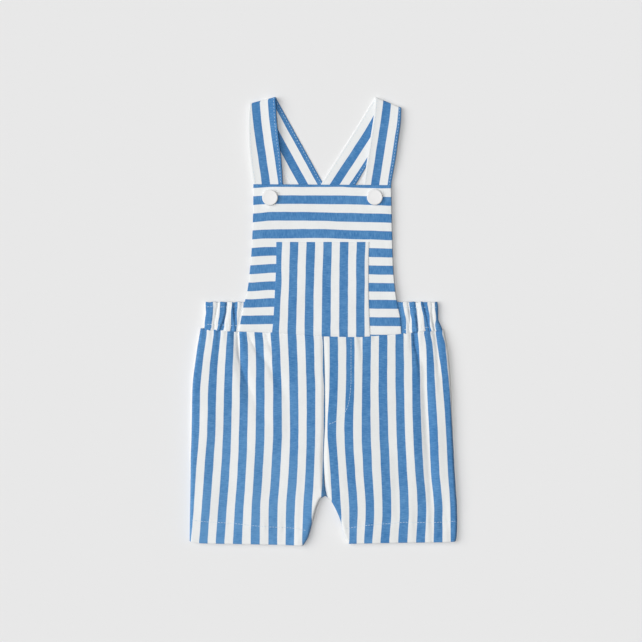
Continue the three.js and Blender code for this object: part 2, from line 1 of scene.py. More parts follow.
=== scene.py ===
import math
import bpy
import numpy as np
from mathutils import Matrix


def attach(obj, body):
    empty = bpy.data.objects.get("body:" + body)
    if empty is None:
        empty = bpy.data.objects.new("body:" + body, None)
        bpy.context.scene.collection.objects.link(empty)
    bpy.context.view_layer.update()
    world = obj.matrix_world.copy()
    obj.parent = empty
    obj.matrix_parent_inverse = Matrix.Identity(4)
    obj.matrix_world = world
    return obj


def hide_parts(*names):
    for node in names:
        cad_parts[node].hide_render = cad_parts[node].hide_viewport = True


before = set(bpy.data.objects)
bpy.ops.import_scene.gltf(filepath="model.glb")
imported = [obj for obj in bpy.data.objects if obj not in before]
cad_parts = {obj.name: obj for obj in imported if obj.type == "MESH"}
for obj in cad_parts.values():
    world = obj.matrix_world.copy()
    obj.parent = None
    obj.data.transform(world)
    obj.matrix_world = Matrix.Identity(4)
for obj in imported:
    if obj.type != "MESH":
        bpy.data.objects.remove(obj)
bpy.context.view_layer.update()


# Legs, back panels
#
# Two flat panels of yarn-dyed striped cotton that lie on the surface under the
# front ones. They are sewn to each other along the back seam, where a blue
# stripe runs down the middle, and to the front panels along their other sides.

MM = 0.001  # every table of this garment is in millimetres
CLOTH = 1.0  # thickness of the cloth with its seam layers
FLOOR = CLOTH / 2  # middle of a sheet that lies on the surface

# Outlines of the two legs: height, outer edge, inner edge, lift of the front
LEFT_LEG = [
    (-8.0, -116.8, -0.2, 5.2),
    (-16.1, -118.2, -0.1, 5.6),
    (-32.2, -120.7, 0.4, 6.2),
    (-65.5, -124.4, 1.1, 6.6),
    (-94.0, -124.9, 1.2, 6.6),
    (-113.0, -125.3, 0.4, 6.5),
    (-129.1, -125.9, -0.2, 6.4),
    (-141.5, -126.0, 0.2, 6.2),
    (-152.9, -126.1, 0.6, 6.1),
    (-160.0, -126.2, 1.1, 6.0),
    (-165.2, -126.3, 2.5, 5.9),
    (-167.6, -126.3, -1.9, 5.9),
    (-172.9, -126.4, -5.3, 5.8),
    (-189.3, -126.7, -10.2, 5.4),
    (-205.9, -126.9, -15.0, 5.0),
    (-213.6, -127.0, -19.9, 4.8),
]
RIGHT_LEG = [
    (-9.0, 114.5, 0.5, 5.2),
    (-16.1, 115.9, 0.6, 5.6),
    (-32.2, 118.7, 1.2, 6.2),
    (-65.5, 121.1, 1.9, 6.6),
    (-94.0, 122.1, 2.0, 6.6),
    (-113.0, 123.0, 1.2, 6.5),
    (-129.1, 123.8, 0.6, 6.4),
    (-141.5, 124.4, 1.0, 6.2),
    (-152.9, 125.2, 1.4, 6.1),
    (-160.0, 125.6, 2.2, 6.0),
    (-165.7, 126.0, 3.4, 5.9),
    (-171.0, 126.5, 7.6, 5.8),
    (-189.3, 127.0, 16.3, 5.4),
    (-203.0, 126.6, 19.9, 5.0),
    (-213.6, 124.2, 24.6, 4.8),
]

# Lower edges of the legs: place across, height
LEFT_HEM = [(-127.0, -209.2), (-117.8, -210.9), (-77.1, -211.7), (-35.4, -212.6), (-16.0, -213.6)]
RIGHT_HEM = [(20.0, -211.6), (70.7, -210.5), (113.3, -209.9), (127.0, -209.2)]

# Shallow creases of the back panels: upper end x, y, lower end x, y, how high
# they stand at each end, width
BACK_CREASES = [
    (30.0, -30.0, 42.0, -120.0, 1.0, 0.5, 6),
    (78.0, -20.0, 84.0, -80.0, 0.9, 0.4, 5),
    (60.0, -130.0, 70.0, -200.0, 0.4, 0.9, 7),
    (-34.0, -24.0, -46.0, -100.0, 0.9, 0.5, 6),
    (-86.0, -20.0, -80.0, -95.0, 1.0, 0.4, 5),
    (-70.0, -120.0, -84.0, -196.0, 0.4, 0.8, 7),
]
BACK_SEAM = 0.8  # place of the back seam across
BACK_TOP = -8.8  # height of the upper edge of the back panels
BACK_FORK = -166  # height where the back seam ends and the inner edges part
BACK_INSET = 1.9  # how far the back panels stay inside the sides of the front
BACK_SHORT = 0.8  # how far they end above its hems
BACK_GAP = 0.15  # half the gap between them at the back seam
LEG_LENGTH = 203.0  # from the waist seam to the hem
STRIPE_PITCH = 16.2  # from one blue stripe to the next in cloth that lies flat
BLUE_SHARE = 0.512  # blue part of the pitch


def column(rows, place, n):
    """Smooth curve through column n of a table at a place along its first
    column. It never passes outside two neighbouring rows."""
    rows = sorted(rows, key=lambda row: row[0])
    at = np.array([row[0] for row in rows], float)
    value = np.array([row[n] for row in rows], float)
    step = np.diff(value) / np.diff(at)
    before, after = step[:-1], step[1:]
    both = np.where(before * after > 0, before + after, 1.0)
    bend = np.where(before * after > 0, 2 * before * after / both, 0.0)
    slope = np.concatenate(([step[0]], bend, [step[-1]]))
    place = np.clip(place, at[0], at[-1])
    i = np.clip(np.searchsorted(at, place, side="left") - 1, 0, len(at) - 2)
    width = at[i + 1] - at[i]
    t = (place - at[i]) / width
    blend = t * t * (3 - 2 * t)
    bends = t * (1 - t) ** 2 * width * slope[i] + t * t * (t - 1) * width * slope[i + 1]
    return value[i] * (1 - blend) + value[i + 1] * blend + bends


def ease(t):
    t = np.clip(t, 0, 1)
    return t * t * (3 - 2 * t)


def mix(a, b, t):
    return a + (b - a) * t


def hump(distance, width):
    """A soft ridge: 1 in its middle, near 0 at twice its width."""
    return np.exp(-((distance / width) ** 2))


def beside(x, y, x1, y1, x2, y2):
    """Where points lie beside a line: how far along it, how far from it, and
    1 on its left or -1 on its right."""
    dx, dy = x2 - x1, y2 - y1
    t = np.clip(((x - x1) * dx + (y - y1) * dy) / (dx * dx + dy * dy), 0, 1)
    away = np.hypot(x - x1 - t * dx, y - y1 - t * dy)
    return t, away, np.sign(dx * (y - y1) - dy * (x - x1))


def pressed(creases, x, y):
    """How far the deepest of a table's creases reaches at each point."""
    most = np.zeros(np.shape(x + y))
    for x1, y1, x2, y2, sink1, sink2, width in creases:
        t, away, _ = beside(x, y, x1, y1, x2, y2)
        most = np.maximum(most, mix(sink1, sink2, t) * hump(away, width))
    return most


def crumple(x, y, size, seed):
    """Uneven soft waves about `size` apart, mostly between -1 and 1."""
    total = 0
    for n in range(7):
        angle = seed + 2.39996 * n
        length = size * (0.7 + 0.7 * ((0.618034 * (n + seed)) % 1))
        along = x * math.cos(angle) + y * math.sin(angle)
        total = total + np.sin(2 * math.pi * along / length + 1.7 * n * n)
    return total / 3.5


def steps(length, size):
    """Places from 0 to 1 along an edge, closer together at both rounded ends."""
    inner = np.linspace(1.0, length - 1.0, max(2, round(length / size)))
    return np.concatenate(([0, 0.35], inner, [length - 0.35, length])) / length


def facing(points):
    """Direction that the cloth faces at each point of a grid."""
    normal = np.cross(np.gradient(points, axis=0), np.gradient(points, axis=1))
    return normal / np.linalg.norm(normal, axis=2, keepdims=True)


def new_piece(name, vertices, faces):
    """A smooth mesh in the scene, from vertices in millimetres."""
    mesh = bpy.data.meshes.new(name)
    mesh.from_pydata((np.array(vertices) * MM).tolist(), [], faces)
    mesh.shade_smooth()
    piece = bpy.data.objects.new(name, mesh)
    bpy.context.scene.collection.objects.link(piece)
    return piece


EDGE_THICKNESS = 0.4  # share of the thickness that is left at the rounded edges


def cloth_shell(name, points, across, along, thickness=CLOTH):
    """A closed sheet of cloth about a grid of points, with rounded edges. The
    map "cloth" holds each point's place across and along the stripes."""
    rows, columns = points.shape[:2]
    half = np.full((rows, columns), thickness / 2)
    for edge in (np.s_[0, :], np.s_[-1, :], np.s_[:, 0], np.s_[:, -1]):
        half[edge] *= EDGE_THICKNESS
    out = facing(points) * half[..., None]
    both = np.concatenate(((points + out).reshape(-1, 3), (points - out).reshape(-1, 3)))
    both[:, 2] = np.maximum(both[:, 2], 0)

    index = np.arange(rows * columns).reshape(rows, columns)
    a, b = index[:-1, :-1], index[1:, :-1]
    c, d = index[1:, 1:], index[:-1, 1:]
    top = np.stack((a, b, c, d), -1).reshape(-1, 4)
    under = top[:, ::-1] + rows * columns
    ring = np.concatenate((index[0, :-1], index[:-1, -1], index[-1, :0:-1], index[:0:-1, 0]))
    after = np.roll(ring, -1)
    rim = np.stack((ring, after, after + rows * columns, ring + rows * columns), -1)
    piece = new_piece(name, both, np.concatenate((top, under, rim)).tolist())

    place = np.stack((across, along), -1).reshape(-1, 2) * MM
    place = np.concatenate((place, place))
    layer = piece.data.uv_layers.new(name="cloth")
    corners = np.zeros(len(piece.data.loops), np.int32)
    piece.data.loops.foreach_get("vertex_index", corners)
    layer.data.foreach_set("uv", place[corners].astype(np.float32).ravel())
    return piece


def sew(piece, node, material):
    """Puts a finished piece of the garment in the place of its plain solid."""
    piece.data.materials.append(material)
    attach(piece, "root")
    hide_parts(node)


# Shader groups for the cloth: one dyes the stripes, one weaves the threads

def shader_group(name, inputs, outputs):
    group = bpy.data.node_groups.new(name, "ShaderNodeTree")
    for title, kind, value in inputs:
        socket = group.interface.new_socket(title, in_out="INPUT", socket_type=kind)
        if value is not None:
            socket.default_value = value
    for title, kind in outputs:
        group.interface.new_socket(title, in_out="OUTPUT", socket_type=kind)
    return group


def wire(tree, node_type, settings=None, **links):
    """Adds a node, sets its properties and joins or sets its inputs. An input
    is named by its socket, with _ for a space, or by i and its number."""
    node = tree.nodes.new(node_type)
    for key, value in (settings or {}).items():
        setattr(node, key, value)
    for key, value in links.items():
        number = key[1:]
        socket = node.inputs[int(number)] if number.isdigit() else node.inputs[key.replace("_", " ")]
        if isinstance(value, bpy.types.NodeSocket):
            tree.links.new(value, socket)
        else:
            socket.default_value = value
    return node


def calc(tree, operation, a, b=0.0, c=0.0):
    node = wire(tree, "ShaderNodeMath", {"operation": operation}, i0=a, i1=b, i2=c)
    return node.outputs[0]


def span(tree, value, low, high, to_low, to_high, smooth=False):
    kind = "SMOOTHSTEP" if smooth else "LINEAR"
    node = wire(
        tree, "ShaderNodeMapRange", {"interpolation_type": kind},
        Value=value, From_Min=low, From_Max=high, To_Min=to_low, To_Max=to_high,
    )
    return node.outputs["Result"]


def noise(tree, vector, scale, detail=2.0):
    node = wire(tree, "ShaderNodeTexNoise", Vector=vector, Scale=scale, Detail=detail)
    return node.outputs["Fac"]


def blend_colours(tree, amount, a, b, how="MIX"):
    node = wire(tree, "ShaderNodeMix", {"data_type": "RGBA", "blend_type": how}, i0=amount, i6=a, i7=b)
    return node.outputs[2]


def bumps(tree, height, strength, depth):
    return wire(tree, "ShaderNodeBump", Strength=strength, Distance=depth, Height=height).outputs[0]


def new_material(name):
    material = bpy.data.materials.new(name)
    material.use_nodes = True
    material.node_tree.nodes.clear()
    return material, material.node_tree


def give_surface(tree, **values):
    """Gives a material its surface."""
    surface = wire(tree, "ShaderNodeBsdfPrincipled", **values)
    wire(tree, "ShaderNodeOutputMaterial", Surface=surface.outputs[0])


def stretched(tree, across, along, fine_across, fine_along):
    """A point on the cloth for a noise whose spots are long one way."""
    x = calc(tree, "MULTIPLY", across, fine_across)
    y = calc(tree, "MULTIPLY", along, fine_along)
    return wire(tree, "ShaderNodeCombineXYZ", X=x, Y=y).outputs[0]


# What makes the blue uneven: how fine it is across and along, its detail, two
# values of its noise, and how pale the blue is at each
UNEVEN_BLUE = {
    "weft dashes": (210.0, 1500.0, 3.0, 0.40, 0.72, -0.08, 0.75),
    "warp lines": (1500.0, 150.0, 2.0, 0.35, 0.70, -0.06, 0.14),
    "patches": (130.0, 190.0, 2.0, 0.30, 0.70, -0.16, 0.24),
    "clouds": (40.0, 22.0, 2.0, 0.30, 0.70, -0.12, 0.22),
}
STRIPE_BLUR = 0.011  # half width of the soft edge of a stripe, as a share of the pitch
WANDER = 0.0007  # how far the edge of a stripe wanders, in metres
THREAD_WANDER = 0.0002  # the same from thread to thread


def dyed_stripes():
    """Colour of cotton woven with blue and white warp threads. White weft
    threads cross the blue stripes and show as pale dashes."""
    tree = shader_group(
        "dyed_stripes",
        [
            ("Across", "NodeSocketFloat", 0.0),
            ("Along", "NodeSocketFloat", 0.0),
            ("Pitch", "NodeSocketFloat", STRIPE_PITCH * MM),
            ("Share", "NodeSocketFloat", BLUE_SHARE),
            ("Blue", "NodeSocketColor", None),
            ("Pale blue", "NodeSocketColor", None),
            ("White", "NodeSocketColor", None),
            ("Fade", "NodeSocketFloat", 0.0),
        ],
        [("Color", "NodeSocketColor")],
    )
    given = tree.nodes.new("NodeGroupInput").outputs
    across, along = given["Across"], given["Along"]
    shifted = across
    for reach, fine_across, fine_along in ((WANDER, 60.0, 60.0), (THREAD_WANDER, 300.0, 2600.0)):
        wander = noise(tree, stretched(tree, across, along, fine_across, fine_along), 1.0)
        shifted = calc(tree, "ADD", shifted, calc(tree, "MULTIPLY_ADD", wander, reach, -reach / 2))
    count = calc(tree, "DIVIDE", shifted, given["Pitch"])
    away = calc(tree, "ABSOLUTE", calc(tree, "SUBTRACT", count, calc(tree, "ROUND", count)))
    inside = calc(tree, "SUBTRACT", calc(tree, "MULTIPLY", given["Share"], 0.5), away)
    blueness = span(tree, inside, -STRIPE_BLUR, STRIPE_BLUR, 0.0, 1.0, smooth=True)

    # The given paleness is painted sheen on the legs, growing towards their hems, and an evenly paler blue
    # on the other pieces; the noises below add uneven tone.
    pale = given["Fade"]
    spots = {}
    for kind, (fine_across, fine_along, detail, low, high, least, most) in UNEVEN_BLUE.items():
        spots[kind] = noise(tree, stretched(tree, across, along, fine_across, fine_along), 1.0, detail)
        pale = calc(tree, "ADD", pale, span(tree, spots[kind], low, high, least, most))
    blue = blend_colours(tree, pale, given["Blue"], given["Pale blue"])
    dashes = span(tree, spots["weft dashes"], 0.3, 0.7, 0.965, 1.0)
    clouds = span(tree, spots["clouds"], 0.3, 0.7, -0.02, 0.01)
    shade = calc(tree, "ADD", dashes, clouds)
    white = blend_colours(tree, 1.0, given["White"], shade, "MULTIPLY")
    colour = blend_colours(tree, blueness, white, blue)
    out = tree.nodes.new("NodeGroupOutput")
    tree.links.new(colour, out.inputs["Color"])
    return tree


THREAD_WIDTH = 0.00042  # of two warp threads side by side, in metres


def plain_weave():
    """Height of crossing threads, with thick and thin ones among them."""
    tree = shader_group(
        "plain_weave",
        [
            ("Across", "NodeSocketFloat", 0.0),
            ("Along", "NodeSocketFloat", 0.0),
            ("Thread", "NodeSocketFloat", THREAD_WIDTH),
        ],
        [("Height", "NodeSocketFloat")],
    )
    given = tree.nodes.new("NodeGroupInput").outputs
    across, along = given["Across"], given["Along"]
    turn = calc(tree, "DIVIDE", 2 * math.pi, given["Thread"])
    waves = [calc(tree, "SINE", calc(tree, "MULTIPLY", way, turn)) for way in (across, along)]
    woven = calc(tree, "MULTIPLY_ADD", calc(tree, "MULTIPLY", *waves), 0.5, 0.5)
    thick = noise(tree, stretched(tree, across, along, 240.0, 1300.0), 1.0)
    fuzz = noise(tree, stretched(tree, across, along, 1500.0, 1500.0), 1.0)
    height = calc(tree, "MULTIPLY", woven, 0.45)
    height = calc(tree, "MULTIPLY_ADD", thick, 0.8, height)
    height = calc(tree, "MULTIPLY_ADD", fuzz, 0.35, height)
    out = tree.nodes.new("NodeGroupOutput")
    tree.links.new(height, out.inputs["Height"])
    return tree


STRIPES_GROUP = dyed_stripes()
WEAVE_GROUP = plain_weave()
BLUE = (0.047, 0.184, 0.425, 1)
PALE_BLUE = (0.120, 0.300, 0.560, 1)
WHITE = (0.835, 0.850, 0.850, 1)
PAINTED_SHEEN_FROM, PAINTED_SHEEN_TO = -0.06, -0.2  # heights between which the painted sheen on the blue grows, in metres


def striped_cotton(name, share=BLUE_SHARE, fade=(0.0, 0.0), white=WHITE):
    """Matt yarn-dyed cotton with a faint nap. The blue is made paler by two given amounts, above the two
    heights and below them; where the two differ, on the legs, this is a painted sheen that grows towards
    the hems."""
    material, tree = new_material(name)
    place = wire(tree, "ShaderNodeUVMap", {"uv_map": "cloth"}).outputs[0]
    split = wire(tree, "ShaderNodeSeparateXYZ", Vector=place).outputs
    # Painted sheen: on the legs the blue grows paler between the two heights; elsewhere the two values are
    # equal and only make the blue paler.
    paleness_and_painted_sheen_by_height = span(tree, split["Y"], PAINTED_SHEEN_FROM, PAINTED_SHEEN_TO, *fade)
    dye = wire(
        tree, "ShaderNodeGroup", {"node_tree": STRIPES_GROUP},
        Across=split["X"], Along=split["Y"], Share=share,
        Blue=BLUE, Pale_blue=PALE_BLUE, White=white, Fade=paleness_and_painted_sheen_by_height,
    )
    weave = wire(
        tree, "ShaderNodeGroup", {"node_tree": WEAVE_GROUP}, Across=split["X"], Along=split["Y"],
    ).outputs["Height"]
    give_surface(
        tree, Base_Color=dye.outputs["Color"], Roughness=span(tree, weave, 0.3, 1.2, 0.92, 0.8),
        Normal=bumps(tree, weave, 0.35, 0.00025),
        Sheen_Weight=0.12, Sheen_Roughness=0.45, Specular_IOR_Level=0.2,
    )
    return material


# Lit and shaded copies of the leg cotton: on the left leg the blue has a painted sheen that grows towards
# the hem. The right leg has a weaker painted sheen, and its darker white is painted shade, because it lies
# away from the side lamp.
LEG_COTTON = {
    -1: striped_cotton("striped_cotton_left_leg_painted_sheen", fade=(0.1, 0.62)),
    1: striped_cotton("striped_cotton_right_leg_painted_shade_and_sheen", fade=(0.0, 0.2), white=(0.80, 0.815, 0.81, 1)),
}


def leg_back(name, leg, hem, side):
    hem_inner, hem_outer = leg[-1][2], leg[-1][1]
    u = steps(abs(hem_outer - hem_inner), 2.6)[None, :]
    v = steps(LEG_LENGTH, 2.6)[:, None]
    hem_y = column(hem, mix(hem_inner, hem_outer, u), 1) + BACK_SHORT
    y = mix(BACK_TOP, hem_y, v)
    outer = column(leg, y, 1) - side * BACK_INSET
    inner = np.where(y > BACK_FORK, side * BACK_GAP + BACK_SEAM, column(leg, y, 2))
    x = mix(inner, outer, u)
    sides = np.minimum(np.abs(x - inner), np.abs(outer - x))
    loose = ease(np.minimum(sides, np.minimum(BACK_TOP + 0.8 - y, y - hem_y)) / 12)
    z = FLOOR + 0.55 * pressed(BACK_CREASES, x, y) * loose
    z = z + 0.25 * np.clip(crumple(x, y, 26, 3.1), 0, 1) * loose
    points = np.stack((x, y, z), -1)
    across = x - BACK_SEAM
    if side < 0:
        points, across, y = points[:, ::-1], across[:, ::-1], y[:, ::-1]
    return cloth_shell(name, points, across, y + 0 * across)


for name, node, leg, hem, side in (
    ("back_panel_left", "leg_back_left", LEFT_LEG, LEFT_HEM, -1),
    ("back_panel_right", "leg_back_right", RIGHT_LEG, RIGHT_HEM, 1),
):
    panel = leg_back(name, leg, hem, side)
    sew(panel, node, LEG_COTTON[side])


# Legs, front panels
#
# The upper sides of the two short legs: striped cotton that is gathered into
# the waist seam, dips to the centre seam and rolls down to the surface at the
# side. The hem is turned up and held by one row of stitches.

SIDE_INSET = 0.2  # how far the front panels stay inside the outline
SIDE_ROLL = 2  # width over which a leg rises from the surface at its side
SEAM_ROLL = 3.5  # width over which a leg sinks to its inner seam
INNER_ROLL = 2.0  # the same below the crotch
SEAM_TUCK = 1.4  # length of the seam edge that slips under the piece above
PUCKER_PITCH = 6.1  # spacing of the small puckers below the waist seam
ROLL_SHADE = 4.5  # how much further the cloth reaches round the rolled side
NEAR_SEAM = np.array([0, 0.4, 0.8, 1.3, 1.9, 2.6, 3.4, 4.3])  # first points from the inner seam
FRONT_GRID = 0.85, 1.6  # spacing of the other points across and down

# Seam between the bib or waistband and the legs: place across, height
WAIST_SEAM = [
    (-118, -8.1),
    (-80, -9.9),
    (-48.8, -11.3),
    (-1.3, -14.5),
    (25.3, -15.3),
    (73.7, -12.3),
    (96.5, -9.4),
    (116, -9.4),
]

# Centre seam of the front, then inner edges of the legs: height, lift
CENTRE_SEAM = [(-12.0, 5.2), (-60.0, 5.2), (-110.0, 5.0), (-145.0, 4.0), (-165.0, 1.8)]
CROTCH = -162  # from here down the inner edges are as round as the sides

# Creases: upper end x, y, lower end x, y, depth at each end, width
LEFT_CREASES = [
    (-83.0, -9.0, -79.2, -39.8, 2.4, 1.8, 3.2),
    (-79.2, -39.8, -67.8, -75.0, 1.8, 1.1, 4.5),
    (-67.8, -75.0, -53.6, -94.0, 1.1, 0.3, 6),
    (-71.6, -18.0, -53.6, -38.9, 0.9, 1.0, 4),
    (-53.6, -38.9, -34.6, -68.3, 1.0, 0.7, 5),
    (-34.6, -68.3, -34.6, -113.0, 0.7, 0.5, 7),
    (-55.5, -18.0, -48.8, -27.5, 0.8, 0.4, 3),
]
RIGHT_CREASES = [
    (86.0, -11.0, 87.4, -24.6, 2.0, 2.0, 3.2),
    (87.4, -24.6, 94.6, -45.0, 2.0, 1.6, 4),
    (94.6, -45.0, 98.4, -103.5, 1.6, 1.4, 5),
    (98.4, -103.5, 101.3, -170.0, 1.4, 0.8, 5.5),
    (105.0, -11.0, 108.0, -48.0, 1.6, 0.4, 3.2),
    (113.6, -172.0, 113.6, -196.0, 0.6, 1.0, 4),
    (37.6, -17.0, 37.6, -30.0, 0.7, 0.3, 4),
]
LEFT_SWELLS = [
    (-88.0, -30.0, -80.0, -72.0, 0.7, 0.5, 7),
    (-71.6, -135.0, -66.0, -190.0, 0.8, 0.7, 14),
    (-112.0, -90.0, -112.0, -180.0, 0.5, 0.4, 9),
    (-7.0, -172.0, -22.0, -209.0, 0.9, 1.1, 6),
]
RIGHT_SWELLS = [
    (104.0, -60.0, 110.0, -150.0, 0.8, 0.6, 6),
    (84.0, -70.0, 88.0, -160.0, 0.6, 0.6, 8),
    (40.0, -90.0, 55.0, -180.0, 0.5, 0.6, 14),
]

# Sharp folds that run down from the waist seam: x, y, height, width at each
# corner of their line. The cloth stands higher on the left of a line.
LEFT_FOLDS = [
    [(-82.6, -9.4, 0.6, 1.0), (-82.1, -18.0, 0.65, 1.1), (-81.1, -33.2, 0.45, 1.1),
     (-78.8, -44.6, 0.28, 1.1), (-75.4, -56.0, 0.2, 1.2), (-67.8, -69.3, 0.15, 1.6),
     (-65.0, -84.5, 0.1, 2.0), (-52.6, -101.6, 0.05, 2.5)],
    [(-71.6, -14.2, 0.35, 1.2), (-69.7, -18.9, 0.4, 1.2), (-63.1, -31.3, 0.25, 1.4),
     (-52.6, -42.7, 0.18, 1.6), (-48.8, -54.1, 0.12, 2.0), (-35.5, -76.9, 0.1, 3.0),
     (-35.5, -99.7, 0.1, 4.0)],
    [(-55.5, -12.0, 0.25, 1.1), (-54.5, -16.1, 0.25, 1.2), (-50.7, -25.6, 0.22, 1.5),
     (-45.0, -42.7, 0.15, 2.0), (-41.2, -54.1, 0.05, 2.5)],
    [(-15.6, -15.2, 0.1, 1.8), (-14.6, -22.7, 0.14, 1.9), (-11.8, -33.2, 0.14, 2.0),
     (-8.9, -54.1, 0.1, 2.1), (-5.2, -69.3, 0.05, 2.2)],
    [(-22.2, -146.0, 0.05, 2.5), (-22.2, -165.0, 0.15, 2.6), (-23.2, -206.0, 0.1, 2.6)],
    [(-37.4, -160.0, 0.05, 2.5), (-40.3, -206.0, 0.12, 2.6)],
    [(-101.1, -8.5, 0.35, 1.4), (-101.6, -22.7, 0.25, 1.6), (-102.5, -56.0, 0.05, 2.0)],
]
RIGHT_FOLDS = [
    [(84.7, -10.6, 0.65, 0.9), (85.6, -22.7, 0.75, 0.9), (88.0, -31.3, 0.55, 0.9),
     (89.9, -46.5, 0.35, 1.1), (90.3, -60.7, 0.05, 1.5)],
    [(90.8, -11.3, 0.15, 1.6), (93.7, -35.1, 0.22, 2.2), (94.6, -65.5, 0.2, 2.4),
     (95.6, -99.7, 0.18, 2.4), (98.4, -132.0, 0.2, 2.3), (100.3, -160.5, 0.25, 2.2),
     (101.8, -207.0, 0.22, 2.2)],
    [(104.1, -9.6, 0.5, 1.7), (105.5, -16.1, 0.65, 1.8), (107.0, -27.5, 0.6, 1.8),
     (107.9, -46.5, 0.4, 1.8), (108.9, -65.5, 0.1, 2.0)],
    [(113.6, -165.0, 0.05, 1.8), (116.5, -188.9, 0.18, 1.8), (118.6, -208.0, 0.15, 1.8)],
    [(32.4, -15.2, 0.25, 1.7), (34.8, -29.4, 0.2, 1.9), (35.7, -48.4, 0.05, 2.0)],
    [(41.4, -15.0, 0.2, 2.0), (41.8, -35.0, 0.05, 2.0)],
    [(65.2, -130.0, 0.05, 3.0), (67.1, -160.5, 0.15, 3.0), (69.0, -206.0, 0.1, 3.0)],
    [(85.1, -160.0, 0.05, 2.2), (86.0, -206.0, 0.12, 2.4)],
    [(73.7, -92.0, 0.15, 3.0), (74.7, -126.0, 0.15, 3.0)],
    [(20.5, -150.0, 0.05, 1.8), (21.5, -206.0, 0.12, 2.0)],
]

# Middles of the blue stripes across each leg: height, then one a stripe. The
# outermost on the right lies close to its fold and is given by its two edges.
LEFT_STRIPES = [
    (-12.3, -114.0, -100.5, -88.0, -76.6, -61.7, -46.2, -29.8, -13.6),
    (-22.7, -115.8, -101.8, -88.7, -75.6, -60.7, -45.4, -29.4, -13.0),
    (-33.2, -117.3, -103.2, -89.1, -75.4, -60.2, -45.0, -28.9, -12.7),
    (-46.5, -119.0, -104.4, -89.7, -75.5, -59.9, -44.4, -28.4, -12.5),
    (-65.5, -120.8, -105.4, -90.4, -75.5, -60.0, -43.6, -28.1, -11.8),
    (-103.5, -121.6, -106.3, -91.3, -76.1, -60.1, -43.5, -27.6, -11.8),
    (-141.5, -124.8, -108.9, -93.0, -77.4, -61.8, -45.1, -28.7, -12.9),
    (-179.5, -127.0, -111.7, -96.0, -79.9, -64.2, -47.7, -31.3, -15.1),
    (-208.0, -129.6, -113.9, -98.0, -81.6, -64.8, -48.0, -31.7, -16.1),
]
RIGHT_STRIPES = [
    (-12.3, 9.6, 25.3, 41.3, 56.7, 72.3, 86.8, 98.6, 106.9, 112.7),
    (-22.7, 9.8, 25.6, 41.1, 56.7, 72.3, 87.3, 100.9, 108.3, 115.4),
    (-33.2, 9.9, 25.7, 41.0, 56.6, 72.4, 87.7, 101.5, 109.9, 116.6),
    (-46.5, 9.9, 25.6, 40.8, 56.5, 72.4, 88.1, 101.7, 111.8, 117.8),
    (-65.5, 9.6, 25.3, 40.5, 56.4, 72.7, 88.1, 102.3, 113.5, 119.4),
    (-103.5, 8.1, 23.9, 40.5, 57.4, 73.5, 88.9, 104.4, 116.3, 122.0),
    (-141.5, 10.4, 25.8, 42.0, 58.9, 75.2, 91.2, 105.8, 118.0, 124.9),
    (-179.5, 12.8, 28.5, 44.1, 60.2, 76.8, 93.7, 109.1, 120.5, 127.3),
    (-208.0, 15.3, 27.8, 42.5, 58.2, 75.3, 92.2, 108.9, 120.9, 127.2),
]

# Rows of stitches: place across, height
LEFT_HEM_STITCH = [
    (-126.1, -188.6),
    (-113.0, -190.3),
    (-97.5, -191.2),
    (-80.9, -192.5),
    (-65.0, -194.2),
    (-48.5, -195.4),
    (-32.0, -196.2),
    (-16.5, -198.5),
]
RIGHT_HEM_STITCH = [
    (20.5, -197.1),
    (39.6, -194.0),
    (59.5, -192.3),
    (76.5, -191.0),
    (92.9, -191.0),
    (109.9, -190.9),
    (126.0, -189.8),
]
FLY_STITCH = [
    (26.2, -16.1),
    (26.2, -56.0),
    (24.9, -72.1),
    (21.5, -84.9),
    (16.3, -89.5),
    (11.5, -95.3),
    (4.8, -97.8),
]


def folded(folds, x, y):
    """Height of a table's folds. Each stands up on the left of its line and
    drops steeply to a hollow on its right."""
    total = np.zeros(np.shape(x + y))
    for line in folds:
        nearest = np.full(total.shape, 1e6)
        height = np.zeros(total.shape)
        for (x1, y1, h1, w1), (x2, y2, h2, w2) in zip(line, line[1:]):
            t, away, side = beside(x, y, x1, y1, x2, y2)
            s = side * away / mix(w1, w2, t)
            here = -mix(h1, h2, t) * s * np.exp(0.5 - 0.5 * s * s)
            height = np.where(away < nearest, here, height)
            nearest = np.minimum(nearest, away)
        total = total + height
    return total


def stripe_count(stripes, place, across, last_by_edges=False):
    """Counts the stripes of a table: 0, 1, 2 at the middles of the blue ones.
    The last two columns may hold the two edges of the last stripe instead."""
    place, across = np.broadcast_arrays(place, across)
    counts = np.arange(len(stripes[0]) - 1.0)
    if last_by_edges:
        counts[-2:] = len(counts) - 2 + np.array([-0.5, 0.5]) * BLUE_SHARE
    middles = np.stack([column(stripes, place, n) for n in range(1, len(stripes[0]))], -1)
    below = (middles < across[..., None]).sum(-1) - 1
    below = np.clip(below, 0, middles.shape[-1] - 2)[..., None]
    low = np.take_along_axis(middles, below, -1)[..., 0]
    high = np.take_along_axis(middles, below + 1, -1)[..., 0]
    first, second = counts[below[..., 0]], counts[below[..., 0] + 1]
    return first + (second - first) * (across - low) / (high - low)


def roll(distance, width):
    """A quarter-round rise from 0 at an edge to 1 at the given width."""
    t = np.clip(distance / width, 0, 1)
    return np.sqrt(1 - (1 - t) ** 2)


def hem_rise(x, y, stitch):
    """The turned-up hem is thicker and puckers at its row of stitches."""
    below = column(stitch, x, 1) - y
    pucker = 0.16 * crumple(x, 0 * y, 7, 1.3) * hump(below, 5)
    return 0.3 * ease((below + 0.6) / 1.4) - 0.28 * hump(below, 0.9) + pucker


